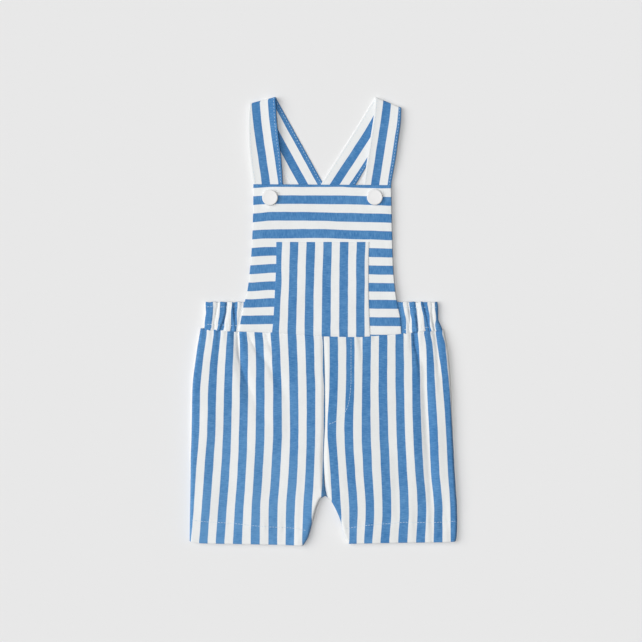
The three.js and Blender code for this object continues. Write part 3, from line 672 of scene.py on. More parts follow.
def leg_front_height(x, y, leg, creases, swells, folds, stitch, side):
    """Height of the cloth, and 0 to 1 across its rolled outer side."""
    below_seam = column(WAIST_SEAM, x, 1) - y
    lift = column(leg, y, 3) - pressed(creases, x, y) + pressed(swells, x, y)
    loose = ease((below_seam - 2) / 12)
    lift = lift + (0.22 * crumple(x, y, 38, 0.4 + side) + 0.07 * crumple(x, y, 13, 2.2)) * loose
    puckers = np.sin(2 * math.pi * (x + 1.3 * np.sin(x / 11)) / PUCKER_PITCH)
    elastic = ease((np.abs(x) - 70) / 12)
    lift = lift + (0.06 + 0.2 * elastic) * puckers * hump(below_seam, 9)
    lift = lift + hem_rise(x, y, stitch) + folded(folds, x, y)

    from_inner = np.abs(x - column(leg, y, 2))
    below_crotch = ease((CROTCH - y) / 8)
    rise = mix(ease(from_inner / SEAM_ROLL), roll(from_inner, INNER_ROLL), below_crotch)
    raised = mix(column(CENTRE_SEAM, y, 1), lift, rise)
    shown = np.maximum(below_seam, 0)
    under_pocket = ease((x + 54) / 5) * ease((49 - x) / 5)
    seam_dip = 0.35 * hump(shown, 1.1) - 0.8 * under_pocket * hump(shown, 5)
    tuck = 1.8 * ease(-below_seam / SEAM_TUCK)
    rolled = roll(np.abs(column(leg, y, 1) - side * SIDE_INSET - x), SIDE_ROLL)
    return (raised - seam_dip - tuck) * rolled, rolled


def leg_front(name, leg, hem, stripes, side, **shape):
    bottom = leg[-1]
    width = abs(bottom[1] - bottom[2])
    inner_part = np.linspace(5.2, width, round(width / FRONT_GRID[0]))
    flat = np.concatenate((NEAR_SEAM, inner_part)) / width
    flat = flat[flat < 1 - (SIDE_ROLL + 0.4) / width]
    turn = np.linspace(math.pi / 2, 0, 9)[:-1]
    u = np.concatenate((flat, 1 - (1 - np.cos(turn)) * SIDE_ROLL / width, [1.0]))[None, :]
    v = steps(LEG_LENGTH, FRONT_GRID[1])
    v = np.concatenate(([-SEAM_TUCK / LEG_LENGTH, -SEAM_TUCK / LEG_LENGTH / 2], v))[:, None]
    waist_ends = [column(leg, np.array(-9.0), n) for n in (2, 1)]
    top_y = column(WAIST_SEAM, mix(*waist_ends, u), 1) - 0.1
    hem_y = column(hem, mix(bottom[2], bottom[1], u), 1)
    y = mix(top_y, hem_y, v)
    closed = side * 0.3 * ease((y + 150) / 10)  # the two panels meet at the seam
    x = mix(column(leg, y, 2) - closed, column(leg, y, 1) - side * SIDE_INSET, u)
    z, rolled = leg_front_height(x, y, leg, side=side, **shape)
    round_side = side * ROLL_SHADE * (1 - rolled) ** 4
    across = stripe_count(stripes, y, x, last_by_edges=side > 0) * STRIPE_PITCH + round_side
    points = np.stack((x, y, z), -1)
    if side < 0:
        points, across, y = points[:, ::-1], across[:, ::-1], y[:, ::-1]
    return cloth_shell(name, points, across, y)


def run_length(points):
    """Distance along a row of points from its first one to each."""
    return np.concatenate(([0], np.cumsum(np.linalg.norm(np.diff(points, axis=0), axis=1))))


def along_row(reach, values, at):
    """Values of a row of points at one place on it."""
    return np.array([np.interp(at, reach, values[:, k]) for k in range(3)])


# Shape of one stitch: place along it and thickness, as shares of the whole
STITCH_SECTIONS = [(-0.5, 0.0), (-0.42, 0.6), (-0.2, 1.0), (0.2, 1.0), (0.42, 0.6), (0.5, 0.0)]
STITCH_SIDES = 6
STITCH_FLATNESS = 0.8  # height of a stitch as a share of its width


def stitch_beads(name, paths, spacing, length, width):
    """Rows of stitches. Each is one short rounded bead of thread that lies
    along its path; a path is a list of points with the surface's direction."""
    ring = np.linspace(0, 2 * math.pi, STITCH_SIDES + 1)[:-1]
    vertices, faces = [], []
    for points, normals in paths:
        reach = run_length(points)
        count = int(reach[-1] / spacing)
        for n in range(count):
            middle = (n + 0.5) * reach[-1] / count
            start, end = [along_row(reach, points, middle + s) for s in (-length / 2, length / 2)]
            forward = (end - start) / np.linalg.norm(end - start)
            sideways = np.cross(along_row(reach, normals, middle), forward)
            sideways /= np.linalg.norm(sideways)
            up = np.cross(forward, sideways) * STITCH_FLATNESS
            first = len(vertices)
            for place, thick in STITCH_SECTIONS:
                centre = (start + end) / 2 + forward * place * length
                for angle in ring:
                    out = sideways * math.cos(angle) + up * math.sin(angle)
                    vertices.append(centre + out * thick * width / 2)
            for section in range(len(STITCH_SECTIONS) - 1):
                low = first + section * STITCH_SIDES
                for k in range(STITCH_SIDES):
                    a, b = low + k, low + (k + 1) % STITCH_SIDES
                    faces.append((a, b, b + STITCH_SIDES, a + STITCH_SIDES))
    return new_piece(name, vertices, faces)


THREAD_WHITE = (0.66, 0.79, 0.88, 1)


def sewing_thread():
    """Off-white twisted cotton thread."""
    material, tree = new_material("sewing_thread")
    place = wire(tree, "ShaderNodeTexCoord").outputs["Object"]
    twist = wire(
        tree, "ShaderNodeTexWave", {"bands_direction": "DIAGONAL"},
        Vector=place, Scale=900.0, Distortion=0.6,
    ).outputs["Fac"]
    fuzz = noise(tree, place, 2500.0)
    height = calc(tree, "MULTIPLY_ADD", fuzz, 0.4, twist)
    shade = span(tree, fuzz, 0.3, 0.7, 0.9, 1.0)
    give_surface(
        tree, Base_Color=blend_colours(tree, 1.0, THREAD_WHITE, shade, "MULTIPLY"),
        Roughness=span(tree, twist, 0.0, 1.0, 0.6, 0.75),
        Normal=bumps(tree, height, 0.4, 0.0001), Sheen_Weight=0.1, Specular_IOR_Level=0.3,
    )
    return material


THREAD = sewing_thread()


def add_stitches(piece):
    piece.data.materials.append(THREAD)
    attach(piece, "root")


def laid_path(x, y, z):
    points = np.stack((x, y, z), -1)
    return points, np.tile((0.0, 0.0, 1.0), (len(points), 1))


def drawn_line(table, size):
    """Points about `size` apart along the corners of a table, rounded off."""
    corners = np.array(table, float)
    reach = run_length(corners)
    rows = [(at, x, y) for at, (x, y) in zip(reach, corners)]
    at = np.linspace(0, reach[-1], max(2, round(reach[-1] / size)))
    return column(rows, at, 1), column(rows, at, 2)


LEFT_SHAPE = {
    "creases": LEFT_CREASES, "swells": LEFT_SWELLS, "folds": LEFT_FOLDS, "stitch": LEFT_HEM_STITCH,
}
RIGHT_SHAPE = {
    "creases": RIGHT_CREASES, "swells": RIGHT_SWELLS, "folds": RIGHT_FOLDS, "stitch": RIGHT_HEM_STITCH,
}
for name, node, below, leg, hem, side, stripes, shape, sewn in (
    ("front_panel_left", "leg_front_left", "back_panel_left", LEFT_LEG, LEFT_HEM, -1,
     LEFT_STRIPES, LEFT_SHAPE, [LEFT_HEM_STITCH]),
    ("front_panel_right", "leg_front_right", "back_panel_right", RIGHT_LEG, RIGHT_HEM, 1,
     RIGHT_STRIPES, RIGHT_SHAPE, [RIGHT_HEM_STITCH, FLY_STITCH]),
):
    panel = leg_front(name, leg, hem, stripes, side, **shape)
    sew(panel, node, LEG_COTTON[side])
    paths = []
    for line in sewn:
        x, y = drawn_line(line, 1.0)
        near = [leg_front_height(x, y + dy, leg, side=side, **shape)[0] for dy in (-0.8, 0, 0.8)]
        paths.append(laid_path(x, y, np.max(near, axis=0) + CLOTH / 2 + 0.05))
    stitching = stitch_beads(name + "_stitching", paths, spacing=2.7, length=2.2, width=0.38)
    add_stitches(stitching)


# Waistband
#
# One strip of the same cotton, folded over elastic that draws it into upright
# gathers. It shows beside the bib on both sides, folds round at each side and
# runs across the back. Two rows of stitches hold the elastic.

BAND_TOP = 18.1  # height of its upper edge
BAND_HEIGHT = 26.5
STUB_TUCK = 4  # length of the band hidden under each edge of the bib
STUB_TUCK_Z = 4.35  # height of the cloth there
BAND_FOLD = 2.6  # how far a side fold bulges past the flat runs
FOLD_TURNS = 0.55  # stripes that go round one side fold
BACK_STRIPES = 21  # whole stripes between the counts at the two ends of the back
BACK_PITCH = 9.5  # spacing of the gathers on the back
BACK_GATHER = 0.6  # half height of a gather on the back
FRONT_GATHER = 0.75  # the same on the front
BAND_RUNS = {"left": 66, "fold_left": 11, "back": 200, "fold_right": 11, "right": 66}  # points of each

# Edges of the bib: height, left, right, lift
BIB = [
    (130.0, -66.5, 64.2, 4.8),
    (115.0, -66.6, 64.5, 4.8),
    (98.9, -66.9, 64.8, 4.7),
    (82.7, -67.4, 65.2, 4.5),
    (65.6, -68.3, 65.6, 4.3),
    (47.6, -69.9, 66.4, 4.5),
    (30.5, -71.9, 67.9, 5.3),
    (17.2, -75.0, 69.9, 5.9),
    (1.0, -78.3, 73.1, 5.9),
    (-16.0, -81.4, 74.0, 5.9),
]

# Side folds of the band: height, left, right, lift
WAISTBAND = [
    (18.1, -112.1, 108.3, 4.9),
    (13.4, -112.3, 109.0, 5.0),
    (8.0, -111.6, 109.0, 5.1),
    (2.0, -112.7, 109.1, 5.1),
    (-4.0, -113.3, 111.6, 5.0),
    (-8.2, -113.6, 113.2, 5.0),
]

# Gathers beside the bib: first trough at the top edge, spacing and lean
STUB_GATHERS = {"left": (-83.2, 8.6, -0.12), "right": (80.7, 7.6, 0.07)}

# Sharp folds of the front runs, as on the legs
STUB_FOLDS = {
    "left": [
        [(-92.6, 16.5, 0.6, 1.0), (-93.0, 9.6, 0.8, 0.9), (-95.2, 1.0, 0.9, 0.9),
         (-97.5, -4.7, 0.8, 0.9), (-99.0, -9.0, 0.6, 1.0)],
        [(-86.2, 15.0, 0.7, 0.9), (-85.6, 9.0, 0.8, 0.9), (-84.5, 1.2, 0.9, 0.9),
         (-83.5, -8.3, 0.9, 0.9)],
        [(-103.0, 12.0, 0.12, 0.9), (-100.5, -3.0, 0.12, 0.9)],
        [(-81.0, 1.0, 0.2, 1.0), (-81.5, -8.0, 0.7, 1.1)],
    ],
    "right": [
        [(73.0, 12.5, 0.5, 0.9), (76.6, -2.8, 0.6, 0.9)],
        [(80.5, 11.0, 0.4, 0.9), (82.3, 1.0, 0.3, 0.9)],
        [(87.0, 6.3, 0.8, 0.9), (88.0, 1.0, 0.9, 0.9), (89.5, -10.0, 0.8, 0.9)],
        [(94.0, 16.5, 0.6, 0.9), (97.5, 4.8, 0.8, 0.9), (99.4, -6.6, 0.8, 0.9)],
        [(102.0, 6.0, 0.3, 1.0), (104.6, -7.0, 0.8, 1.1)],
    ],
}

# Middles of the blue stripes on the two front runs
STUB_STRIPES = {
    "left": [
        (16.2, -108.4, -94.4, -84.2, -73.0),
        (12.4, -108.1, -94.9, -84.5, -73.4),
        (8.6, -108.2, -95.1, -84.9, -73.8),
        (4.8, -108.7, -95.5, -84.9, -73.9),
        (1.0, -109.0, -96.3, -84.8, -74.0),
        (-1.8, -109.2, -96.7, -84.7, -74.2),
        (-4.7, -109.1, -96.9, -85.0, -74.5),
        (-8.0, -110.2, -97.7, -85.6, -75.0),
    ],
    "right": [
        (16.2, 72.6, 84.6, 95.2, 109.2),
        (12.4, 73.3, 85.2, 96.0, 109.2),
        (8.6, 74.5, 85.3, 97.2, 109.4),
        (4.8, 75.4, 86.2, 97.9, 109.6),
        (1.0, 75.8, 86.8, 98.3, 109.4),
        (-1.8, 75.9, 86.8, 98.6, 108.9),
        (-4.7, 75.8, 86.8, 99.1, 109.2),
        (-8.0, 75.6, 87.2, 100.2, 109.8),
    ],
}
ELASTIC_ROWS = {"left": (13.6, -3.1), "right": (13.4, -5.0), "back": (13.5, -4.0)}


def elastic_pinch(y, side):
    """Close to its two rows of stitches the band is drawn flat."""
    first, second = ELASTIC_ROWS[side]
    return hump(np.minimum(np.abs(y - first), np.abs(y - second)), 1.1)


def band_front_height(x, y, side):
    """Height of a front run: rounded gathers with sharp troughs between."""
    edge_column, outward = {"left": (1, -1), "right": (2, 1)}[side]
    free = ease((outward * (x - column(BIB, y, edge_column)) - 1) / 5)
    to_side = np.abs(x - column(WAISTBAND, y, edge_column)) - CLOTH / 2 - BAND_FOLD
    trough, pitch, lean = STUB_GATHERS[side]
    turn = (x - trough - lean * (18 - y) + 0.5 * np.sin(y / 5 + x / 9)) / pitch
    sharp = np.abs(np.sin(math.pi * turn)) ** 0.75
    fine = 0.16 * np.sin(2 * math.pi * (x * 1.02 + 0.7 * np.sin(y / 3.1)) / 3.3)
    pinch = elastic_pinch(y, side)
    gather = FRONT_GATHER * (1.5 * sharp - 0.85) * (1 - 0.25 * pinch)
    gather = gather + fine * (0.5 + 0.9 * pinch) - 0.3 * pinch
    gather = gather + folded(STUB_FOLDS[side], x, y)
    return mix(STUB_TUCK_Z, column(WAISTBAND, y, 3), free) + gather * ease(to_side / 3) * free


def band_back_height(x, y, inner_left, inner_right):
    turn = 2 * math.pi * x / BACK_PITCH + 0.35 * np.sin(y / 6)
    calm = ease(np.minimum(x - inner_left, inner_right - x) / 3)
    pinch = elastic_pinch(y, "back")
    gather = BACK_GATHER * (1 + np.cos(turn + 0.4 * np.sin(2.1 * turn)) * (1 - 0.2 * pinch))
    return FLOOR + gather * calm


def band_line(run, t, y):
    """One upright line of the band, at a share of the way along one of its
    runs: place across, height of the cloth, count of the stripes, and how much
    of the line belongs to the front, from 0 to 1."""
    inner_left = column(WAISTBAND, y, 1) + CLOTH / 2 + BAND_FOLD
    inner_right = column(WAISTBAND, y, 2) - CLOTH / 2 - BAND_FOLD
    left_count = stripe_count(STUB_STRIPES["left"], y, inner_left)
    right_count = stripe_count(STUB_STRIPES["right"], y, inner_right) - BACK_STRIPES
    if run == "back":
        x = mix(inner_left, inner_right, t)
        z = band_back_height(x, y, inner_left, inner_right)
        return x, z, mix(left_count - FOLD_TURNS, right_count + FOLD_TURNS, t), 0.0
    if run.startswith("fold"):
        middle = (column(WAISTBAND, y, 3) + FLOOR) / 2
        turn, base, sign, start = {
            "fold_left": (t, inner_left, 1, left_count),
            "fold_right": (1 - t, inner_right, -1, right_count),
        }[run]
        angle = math.pi * (0.5 + turn)
        x = base + sign * BAND_FOLD * math.cos(angle)
        z = middle + (middle - FLOOR) * math.sin(angle)
        return x, z, start - sign * FOLD_TURNS * turn, 1 - turn
    if run == "left":
        x = mix(column(BIB, y, 1) + STUB_TUCK, inner_left, t)
    else:
        x = mix(inner_right, column(BIB, y, 2) - STUB_TUCK, t)
    count = stripe_count(STUB_STRIPES[run], y, x) - (BACK_STRIPES if run == "right" else 0)
    return x, band_front_height(x, y, run), count, 1.0


def waistband():
    """The whole strip, with its lower edge tucked under the seams of the legs."""
    heights = np.append(BAND_TOP - BAND_HEIGHT * steps(BAND_HEIGHT, 0.9), -9.4)
    last = np.arange(len(heights)) == len(heights) - 1
    back_y = np.where(last, -8.5, heights)
    lines = []
    for run, count in BAND_RUNS.items():
        places = np.linspace(0, 1, count)
        for t in places[1:-1] if run.startswith("fold") else places:
            x, z, stripe, front = band_line(run, t, heights)
            seam = column(WAIST_SEAM, x, 1) + 0.1
            front_y = mix(BAND_TOP, seam, (BAND_TOP - heights) / BAND_HEIGHT)
            front_y = np.where(last, seam - 0.1, front_y)
            ruffle = 0.35 * np.sin(x * 0.83) * ease((heights - 14.5) / 3.6)
            y = mix(back_y, front_y + ruffle, front)
            lines.append(np.stack((x, y, z - 0.9 * front * last, stripe), -1))
    grid = np.stack(lines, 1)[:, ::-1]
    return cloth_shell(
        "elastic_waistband", grid[..., :3], grid[..., 3] * STRIPE_PITCH, grid[..., 1],
    )


BAND_COTTON = striped_cotton("striped_cotton_waistband", fade=(0.1, 0.1))
band = waistband()
sew(band, "waistband_elastic", BAND_COTTON)
band_paths = []
for side, near, far, count in (
    ("left", -81.5, -110.5, 60), ("right", 76.5, 107.5, 60), ("back", -106.0, 102.0, 200),
):
    for row in ELASTIC_ROWS[side]:
        x, y = np.linspace(near, far, count), np.full(count, row)
        if side == "back":
            z = band_back_height(x, y, near - 3.0, far + 3.0)
        else:
            z = band_front_height(x, y, side)
            y = mix(BAND_TOP, column(WAIST_SEAM, x, 1), (BAND_TOP - row) / BAND_HEIGHT)
        band_paths.append(laid_path(x, y, z + CLOTH / 2 + 0.03))
band_stitching = stitch_beads(
    "waistband_stitching", band_paths, spacing=2.6, length=2.4, width=0.4,
)
add_stitches(band_stitching)


# Straps
#
# Two flat straps of doubled cotton, stitched along both edges. Each comes up
# from behind the bib, folds over the shoulder, crosses the other one on the
# back and ends inside the back of the waistband.

# Cross sections of a strap: near edge x, y, far edge x, y, lift, and how far
# the middle of a blue stripe lies from the far edge on the left strap and from
# the near edge on the right one. The near edge is the left one in the photo.
LEFT_STRAP = [
    (-63.1, 103.6, -36.0, 103.6, 3.2, 0.0),
    (-66.5, 130.2, -38.6, 130.2, 3.2, 0.2),
    (-69.7, 153.0, -40.1, 153.0, 4.1, 1.9),
    (-71.1, 172.0, -42.4, 172.0, 4.3, 2.4),
    (-71.4, 191.0, -44.5, 191.6, 4.2, 2.8),
    (-70.4, 205.0, -45.6, 210.9, 3.6, 3.4),
]
LEFT_STRAP_BACK = [
    (-67.2, 203.4, -43.9, 210.1, 0.5, 1.3),
    (-55.2, 175.0, -29.9, 184.5, 0.5, 1.1),
    (-42.0, 148.6, -16.6, 160.5, 0.5, 1.1),
    (-27.3, 122.0, -2.8, 135.4, 0.5, 1.1),
    (-13.5, 97.0, 11.0, 110.5, 0.5, 1.1),
    (4.4, 65.5, 28.9, 79.0, 0.5, 1.1),
    (22.0, 35.5, 46.5, 49.0, 0.55, 1.1),
    (29.5, 22.2, 58.0, 24.0, 3.1, 1.1),
    (35.0, 14.5, 63.5, 14.5, 3.1, 1.1),
    (37.5, 9.5, 66.0, 9.5, 3.1, 1.1),
]
RIGHT_STRAP = [
    (34.8, 103.6, 61.4, 103.6, 3.2, 11.1),
    (38.3, 130.2, 64.4, 130.2, 3.2, 10.9),
    (41.9, 156.0, 68.8, 156.0, 4.1, 11.3),
    (44.8, 174.9, 71.3, 174.9, 4.3, 11.3),
    (47.8, 194.8, 73.4, 190.5, 4.2, 11.1),
    (49.4, 211.0, 73.8, 201.0, 3.6, 11.9),
]
RIGHT_STRAP_BACK = [
    (47.2, 209.8, 71.4, 199.6, 0.5, 11.6),
    (33.5, 187.0, 58.5, 175.5, 0.5, 12.1),
    (18.0, 162.2, 42.5, 149.5, 0.7, 11.8),
    (1.1, 135.4, 25.5, 121.5, 1.9, 11.1),
    (-15.5, 109.5, 8.5, 94.5, 1.9, 11.1),
    (-31.0, 85.0, -7.0, 70.0, 1.9, 11.1),
    (-46.0, 61.5, -22.0, 46.5, 0.5, 11.1),
    (-60.0, 39.5, -35.5, 25.5, 0.55, 11.1),
    (-70.0, 24.0, -40.5, 22.2, 3.1, 11.1),
    (-73.5, 15.5, -44.5, 15.5, 3.1, 11.1),
    (-76.0, 10.5, -47.0, 10.5, 3.1, 11.1),
]
STRAP_WIDTH = 28.0
STRAP_PITCH = 15.75  # distance of the blue stripes on a strap
STRAP_STITCH = 1.8  # distance of the stitches from the edge of a strap
STRAP_FOLD = 2.2  # how far the shoulder fold bulges
NEAR_TILT = 0.6  # how much higher the near edge lies in front
FIRST_WHITE, LAST_WHITE = -0.5, 1.5  # counts in the middle of the white edge stripes
EDGE_SQUEEZE = 0.75  # how much of the count is left beyond them, so they stay white


def strap_rows(front, back):
    """Cross sections a few millimetres apart along one strap, fold included."""
    front, back = np.array(front), np.array(back)
    parts = []
    for part in (front, back):
        reach = run_length((part[:, :2] + part[:, 2:4]) / 2)
        table = np.column_stack((reach, part))
        at = np.linspace(0, reach[-1], round(reach[-1] / 2.0))
        parts.append(np.column_stack([column(table.tolist(), at, n) for n in range(1, 7)]))
    up, down = parts[0][-1], parts[1][0]
    along = (up[2:4] - up[:2]) / np.linalg.norm(up[2:4] - up[:2])
    outward = np.array((-along[1], along[0]))
    radius = (up[4] - down[4]) / 2
    fold = []
    for t in np.linspace(0, 1, 13)[1:-1]:
        angle = math.pi * (0.5 - t)
        row = mix(up, down, t)
        row[:4] += np.tile(outward, 2) * STRAP_FOLD * math.cos(angle)
        row[4] = (up[4] + down[4]) / 2 + radius * math.sin(angle)
        fold.append(row)
    return np.concatenate((parts[0], fold, parts[1]))


def strap_points(rows, places, seed, gape):
    """Points across every row of a strap, at shares of its width from the near
    edge. The stitched edges are flat and the middle is full. In front, the far
    edge stands off by `gape` at the shoulder."""
    near, far = rows[:, None, :2], rows[:, None, 2:4]
    height, lift = rows[:, 1:2], rows[:, 4:5]
    width = np.linalg.norm(far - near, axis=-1)
    from_near, from_far = places * width, (1 - places) * width
    in_front = ease((lift - 2.4) / 0.8) * (height > 90)
    gape = gape * (0.3 + 0.7 * ease((height - 130) / 60))
    z = lift + (NEAR_TILT * np.exp(-from_near / 5) + gape * np.exp(-from_far / 6)) * in_front
    points = np.concatenate((mix(near, far, places[None, :, None]), z[..., None]), -1)
    reach = run_length(points[:, len(places) // 2])
    from_edge = np.minimum(from_near, from_far)
    groove = 0.1 * hump(from_edge - STRAP_STITCH, 0.7)
    wave = 0.1 * crumple(reach[:, None] + 0 * from_edge, from_edge * 0.6, 21, seed) * ease(from_edge / 5)
    normal = -facing(points)
    return points + normal * (groove - np.abs(wave))[..., None], normal, reach, width


def strap(name, front, back, from_far, seed, gape):
    """A strap and its two rows of stitches, which show on both of its sides."""
    rows = strap_rows(front, back)
    places = steps(STRAP_WIDTH, 1.4)
    points, _, reach, width = strap_points(rows, places, seed, gape)
    count = ((1 - places if from_far else places) * width - rows[:, 5:6]) / STRAP_PITCH
    shown = np.clip(count, FIRST_WHITE, LAST_WHITE)
    count = shown + EDGE_SQUEEZE * (count - shown)
    along = np.repeat(reach[:, None], len(places), 1)
    piece = cloth_shell(name, points[::-1], count[::-1] * STRIPE_PITCH, along[::-1])
    paths = []
    for side in (STRAP_STITCH, STRAP_WIDTH - STRAP_STITCH):
        beside_row = side / STRAP_WIDTH + np.array([-0.01, 0.0, 0.01])
        line, normal, _, _ = strap_points(rows, beside_row, seed, gape)
        for sign in (1, -1):
            points = line[:, 1] - sign * normal[:, 1] * (CLOTH / 2 + 0.02)
            points[:, 2] = np.maximum(points[:, 2], 0.2)
            paths.append((points, -sign * normal[:, 1]))
    stitching = stitch_beads(name + "_stitching", paths, spacing=3.05, length=1.8, width=0.4)
    add_stitches(stitching)
    return piece, stitching


STRAP_COTTON = striped_cotton("striped_cotton_straps", share=0.505)
for name, node, front, back, from_far, seed, gape in (
    ("shoulder_strap_left", "strap_left", LEFT_STRAP, LEFT_STRAP_BACK, True, 0.7, 2.4),
    ("shoulder_strap_right", "strap_right", RIGHT_STRAP, RIGHT_STRAP_BACK, False, 2.9, 0.5),
):
    piece, stitching = strap(name, front, back, from_far, seed, gape)
    sew(piece, node, STRAP_COTTON)


# Bib
#
# A panel of the same cotton with its stripes across. Its edges are turned in
# and sewn from the back, so no stitches show. It lies over the front ends of
# the straps and over the tucked ends of the waistband.

BIB_WIDTH, BIB_HEIGHT = 135.0, 144.0

# Middles of the blue bands, from the lowest up: place across, then heights
BIB_BANDS = [
    (-67.8, -15.4, 1.2, 16.7, 32.3, 48.7, 65.2, 81.9, 97.7, 114.2, 130.5),
    (-58.3, -15.3, 1.3, 17.2, 33.1, 49.5, 65.9, 82.7, 98.7, 115.0, 130.9),
    (-47.9, -15.2, 1.4, 17.7, 33.6, 50.1, 66.2, 82.7, 99.7, 115.3, 131.4),
    (-17.5, -15.5, 1.1, 17.5, 33.4, 50.0, 66.2, 83.2, 99.6, 115.1, 131.5),
    (-0.4, -15.9, 0.7, 17.2, 33.2, 49.7, 66.0, 83.3, 99.1, 115.1, 131.6),
    (15.8, -16.3, 0.3, 16.9, 32.9, 49.4, 65.8, 82.6, 98.6, 115.0, 131.7),
    (30.0, -16.6, 0.0, 16.5, 32.5, 49.0, 65.5, 82.0, 98.3, 114.9, 130.8),
    (44.3, -16.9, -0.4, 16.1, 32.1, 48.5, 65.2, 81.7, 98.2, 114.2, 130.4),
    (61.4, -17.1, -0.6, 15.9, 31.8, 48.3, 64.6, 80.9, 97.6, 113.5, 130.5),
]
BIB_TOP = (130.0, 129.1)  # height of the top edge at its left and right ends
BIB_FOOT = (-79.8, 73.83)  # places across of the ends of the lower edge
BUTTONS = {"button_left": (-50.7, 117.2), "button_right": (48.7, 117.6)}


def bib_middle(x, y):
    """The cloth of the bib as the solids have it, without its small creases."""
    left, right = column(BIB, y, 1), column(BIB, y, 2)
    edge = np.minimum(x - left, right - x)
    wave = 0.12 * np.sin(x / 19 + y / 31) + 0.1 * np.sin(x / 11 - y / 17)
    loose = wave * ease(edge / 20) * ease((y - 5) / 30)
    return column(BIB, y, 3) + loose - 0.2 * (1 - ease(edge / 4))


def bib_height(x, y):
    left, right = column(BIB, y, 1), column(BIB, y, 2)
    edge = np.minimum(np.minimum(x - left, right - x), 129.5 - y)
    soft = 0.1 * crumple(x, y, 24, 1.9) + 0.05 * crumple(x, y, 9, 4.4)
    z = bib_middle(x, y) + soft * ease(edge / 8)
    z = z - 0.1 * hump(edge - 6.5, 1.2)  # end of the turned-in edge
    z = z - 0.6 * (1 - ease((y - column(WAIST_SEAM, x, 1)) / 3.5))
    for button_x, button_y in BUTTONS.values():
        z = z - 0.18 * hump(np.hypot(x - button_x, y - button_y) - 6, 4)
    return z


def bib_panel():
    u = steps(BIB_WIDTH, 1.5)[None, :]
    v = steps(BIB_HEIGHT, 1.5)[:, None]
    bottom = column(WAIST_SEAM, mix(BIB_FOOT[0], BIB_FOOT[1], u), 1) + 0.05
    y = mix(mix(BIB_TOP[0], BIB_TOP[1], u), bottom, v)
    x = mix(column(BIB, y, 1), column(BIB, y, 2), u)
    across = stripe_count(BIB_BANDS, x, y) * STRIPE_PITCH
    return cloth_shell("bib_panel", np.stack((x, y, bib_height(x, y)), -1), across, x)


BIB_COTTON = striped_cotton("striped_cotton_bib", fade=(0.12, 0.12))
bib = bib_panel()
sew(bib, "bib_front", BIB_COTTON)


# Patch pocket
#
# A square of the cotton with its stripes upright, its edges turned under, sewn
# on to the lower half of the bib.

POCKET_WIDTH, POCKET_HEIGHT = 90.0, 89.0
POCKET_FOOT = (-49, 44.5)  # places across of the ends of the lower edge
POCKET_CLOTH = 0.8  # its thickness

# Edges of the pocket: height, left, right
POCKET = [
    (75.1, -44.7, 43.3),
    (56.1, -44.8, 42.9),
    (29.5, -46.0, 42.8),
    (10.5, -46.9, 43.3),
    (-3.7, -48.0, 43.9),
    (-16.0, -49.4, 44.5),
]

# Middles of its blue stripes: height, then one a stripe
POCKET_STRIPES = [
    (72.3, -43.1, -27.8, -11.9, 4.1, 19.7, 35.8),
    (55.0, -43.8, -28.4, -12.6, 3.5, 19.4, 35.1),
    (39.0, -43.4, -28.8, -12.9, 2.9, 19.3, 35.2),
    (20.0, -44.6, -29.3, -13.4, 2.8, 19.3, 35.0),
    (-8.5, -46.1, -29.9, -13.7, 2.6, 19.2, 35.0),
]


def pocket_panel():
    u = steps(POCKET_WIDTH, 1.5)[None, :]
    v = steps(POCKET_HEIGHT, 1.5)[:, None]
    bottom = column(WAIST_SEAM, mix(POCKET_FOOT[0], POCKET_FOOT[1], u), 1) + 0.05
    top = POCKET[0][0]
    y = mix(top, bottom, v)
    left, right = column(POCKET, y, 1), column(POCKET, y, 2)
    x = mix(left, right, u)
    edge = np.minimum(np.minimum(x - left, right - x), top - y)
    soft = 0.12 * crumple(x, y, 28, 0.9) + 0.05 * crumple(x, y, 10, 3.3)
    z = bib_height(x, y) + 1.0 - 0.3 * (1 - ease((y - bottom) / 3.5))
    z = z + (0.15 + np.maximum(soft, -0.15)) * ease(edge / 7) - 0.2 * (1 - ease(edge / 2.0))
    across = stripe_count(POCKET_STRIPES, y, x) * STRIPE_PITCH
    return cloth_shell("patch_pocket", np.stack((x, y, z), -1), across, y, POCKET_CLOTH)


POCKET_COTTON = striped_cotton("striped_cotton_pocket", fade=(0.12, 0.12))
pocket = pocket_panel()
sew(pocket, "bib_pocket", POCKET_COTTON)


# Buttons
#
# Two matt white moulded buttons that hold the straps to the bib. Each is a
# thick disc with a rounded rim and a very slightly hollow face.

BUTTON_SIDES = 72
BUTTON_LIFT = 0.36  # of its underside above the cloth
BUTTON_WHITE = (0.775, 0.772, 0.768, 1)

# Section of a button from its axis outwards: distance, height
BUTTON_SECTION = [
    (0.0, 0.0), (6.6, 0.0), (7.1, 0.12), (7.4, 0.4), (7.5, 0.8), (7.5, 1.8), (7.42, 2.2),
    (7.2, 2.45), (6.9, 2.57), (6.5, 2.6), (6.1, 2.58), (5.6, 2.54), (5.0, 2.51),
    (4.0, 2.49), (3.0, 2.48), (1.4, 2.47), (0.0, 2.47),
]


def moulded_plastic():
    material, tree = new_material("button_plastic")
    place = wire(tree, "ShaderNodeTexCoord").outputs["Object"]
    grain = noise(tree, place, 1400.0, 3.0)
    cloud = noise(tree, place, 160.0, 2.0)
    shade = span(tree, cloud, 0.3, 0.7, 0.975, 1.0)
    give_surface(
        tree, Base_Color=blend_colours(tree, 1.0, BUTTON_WHITE, shade, "MULTIPLY"),
        Roughness=span(tree, grain, 0.3, 0.7, 0.36, 0.5),
        Normal=bumps(tree, grain, 0.15, 0.0001), Specular_IOR_Level=0.4,
    )
    return material


PLASTIC = moulded_plastic()


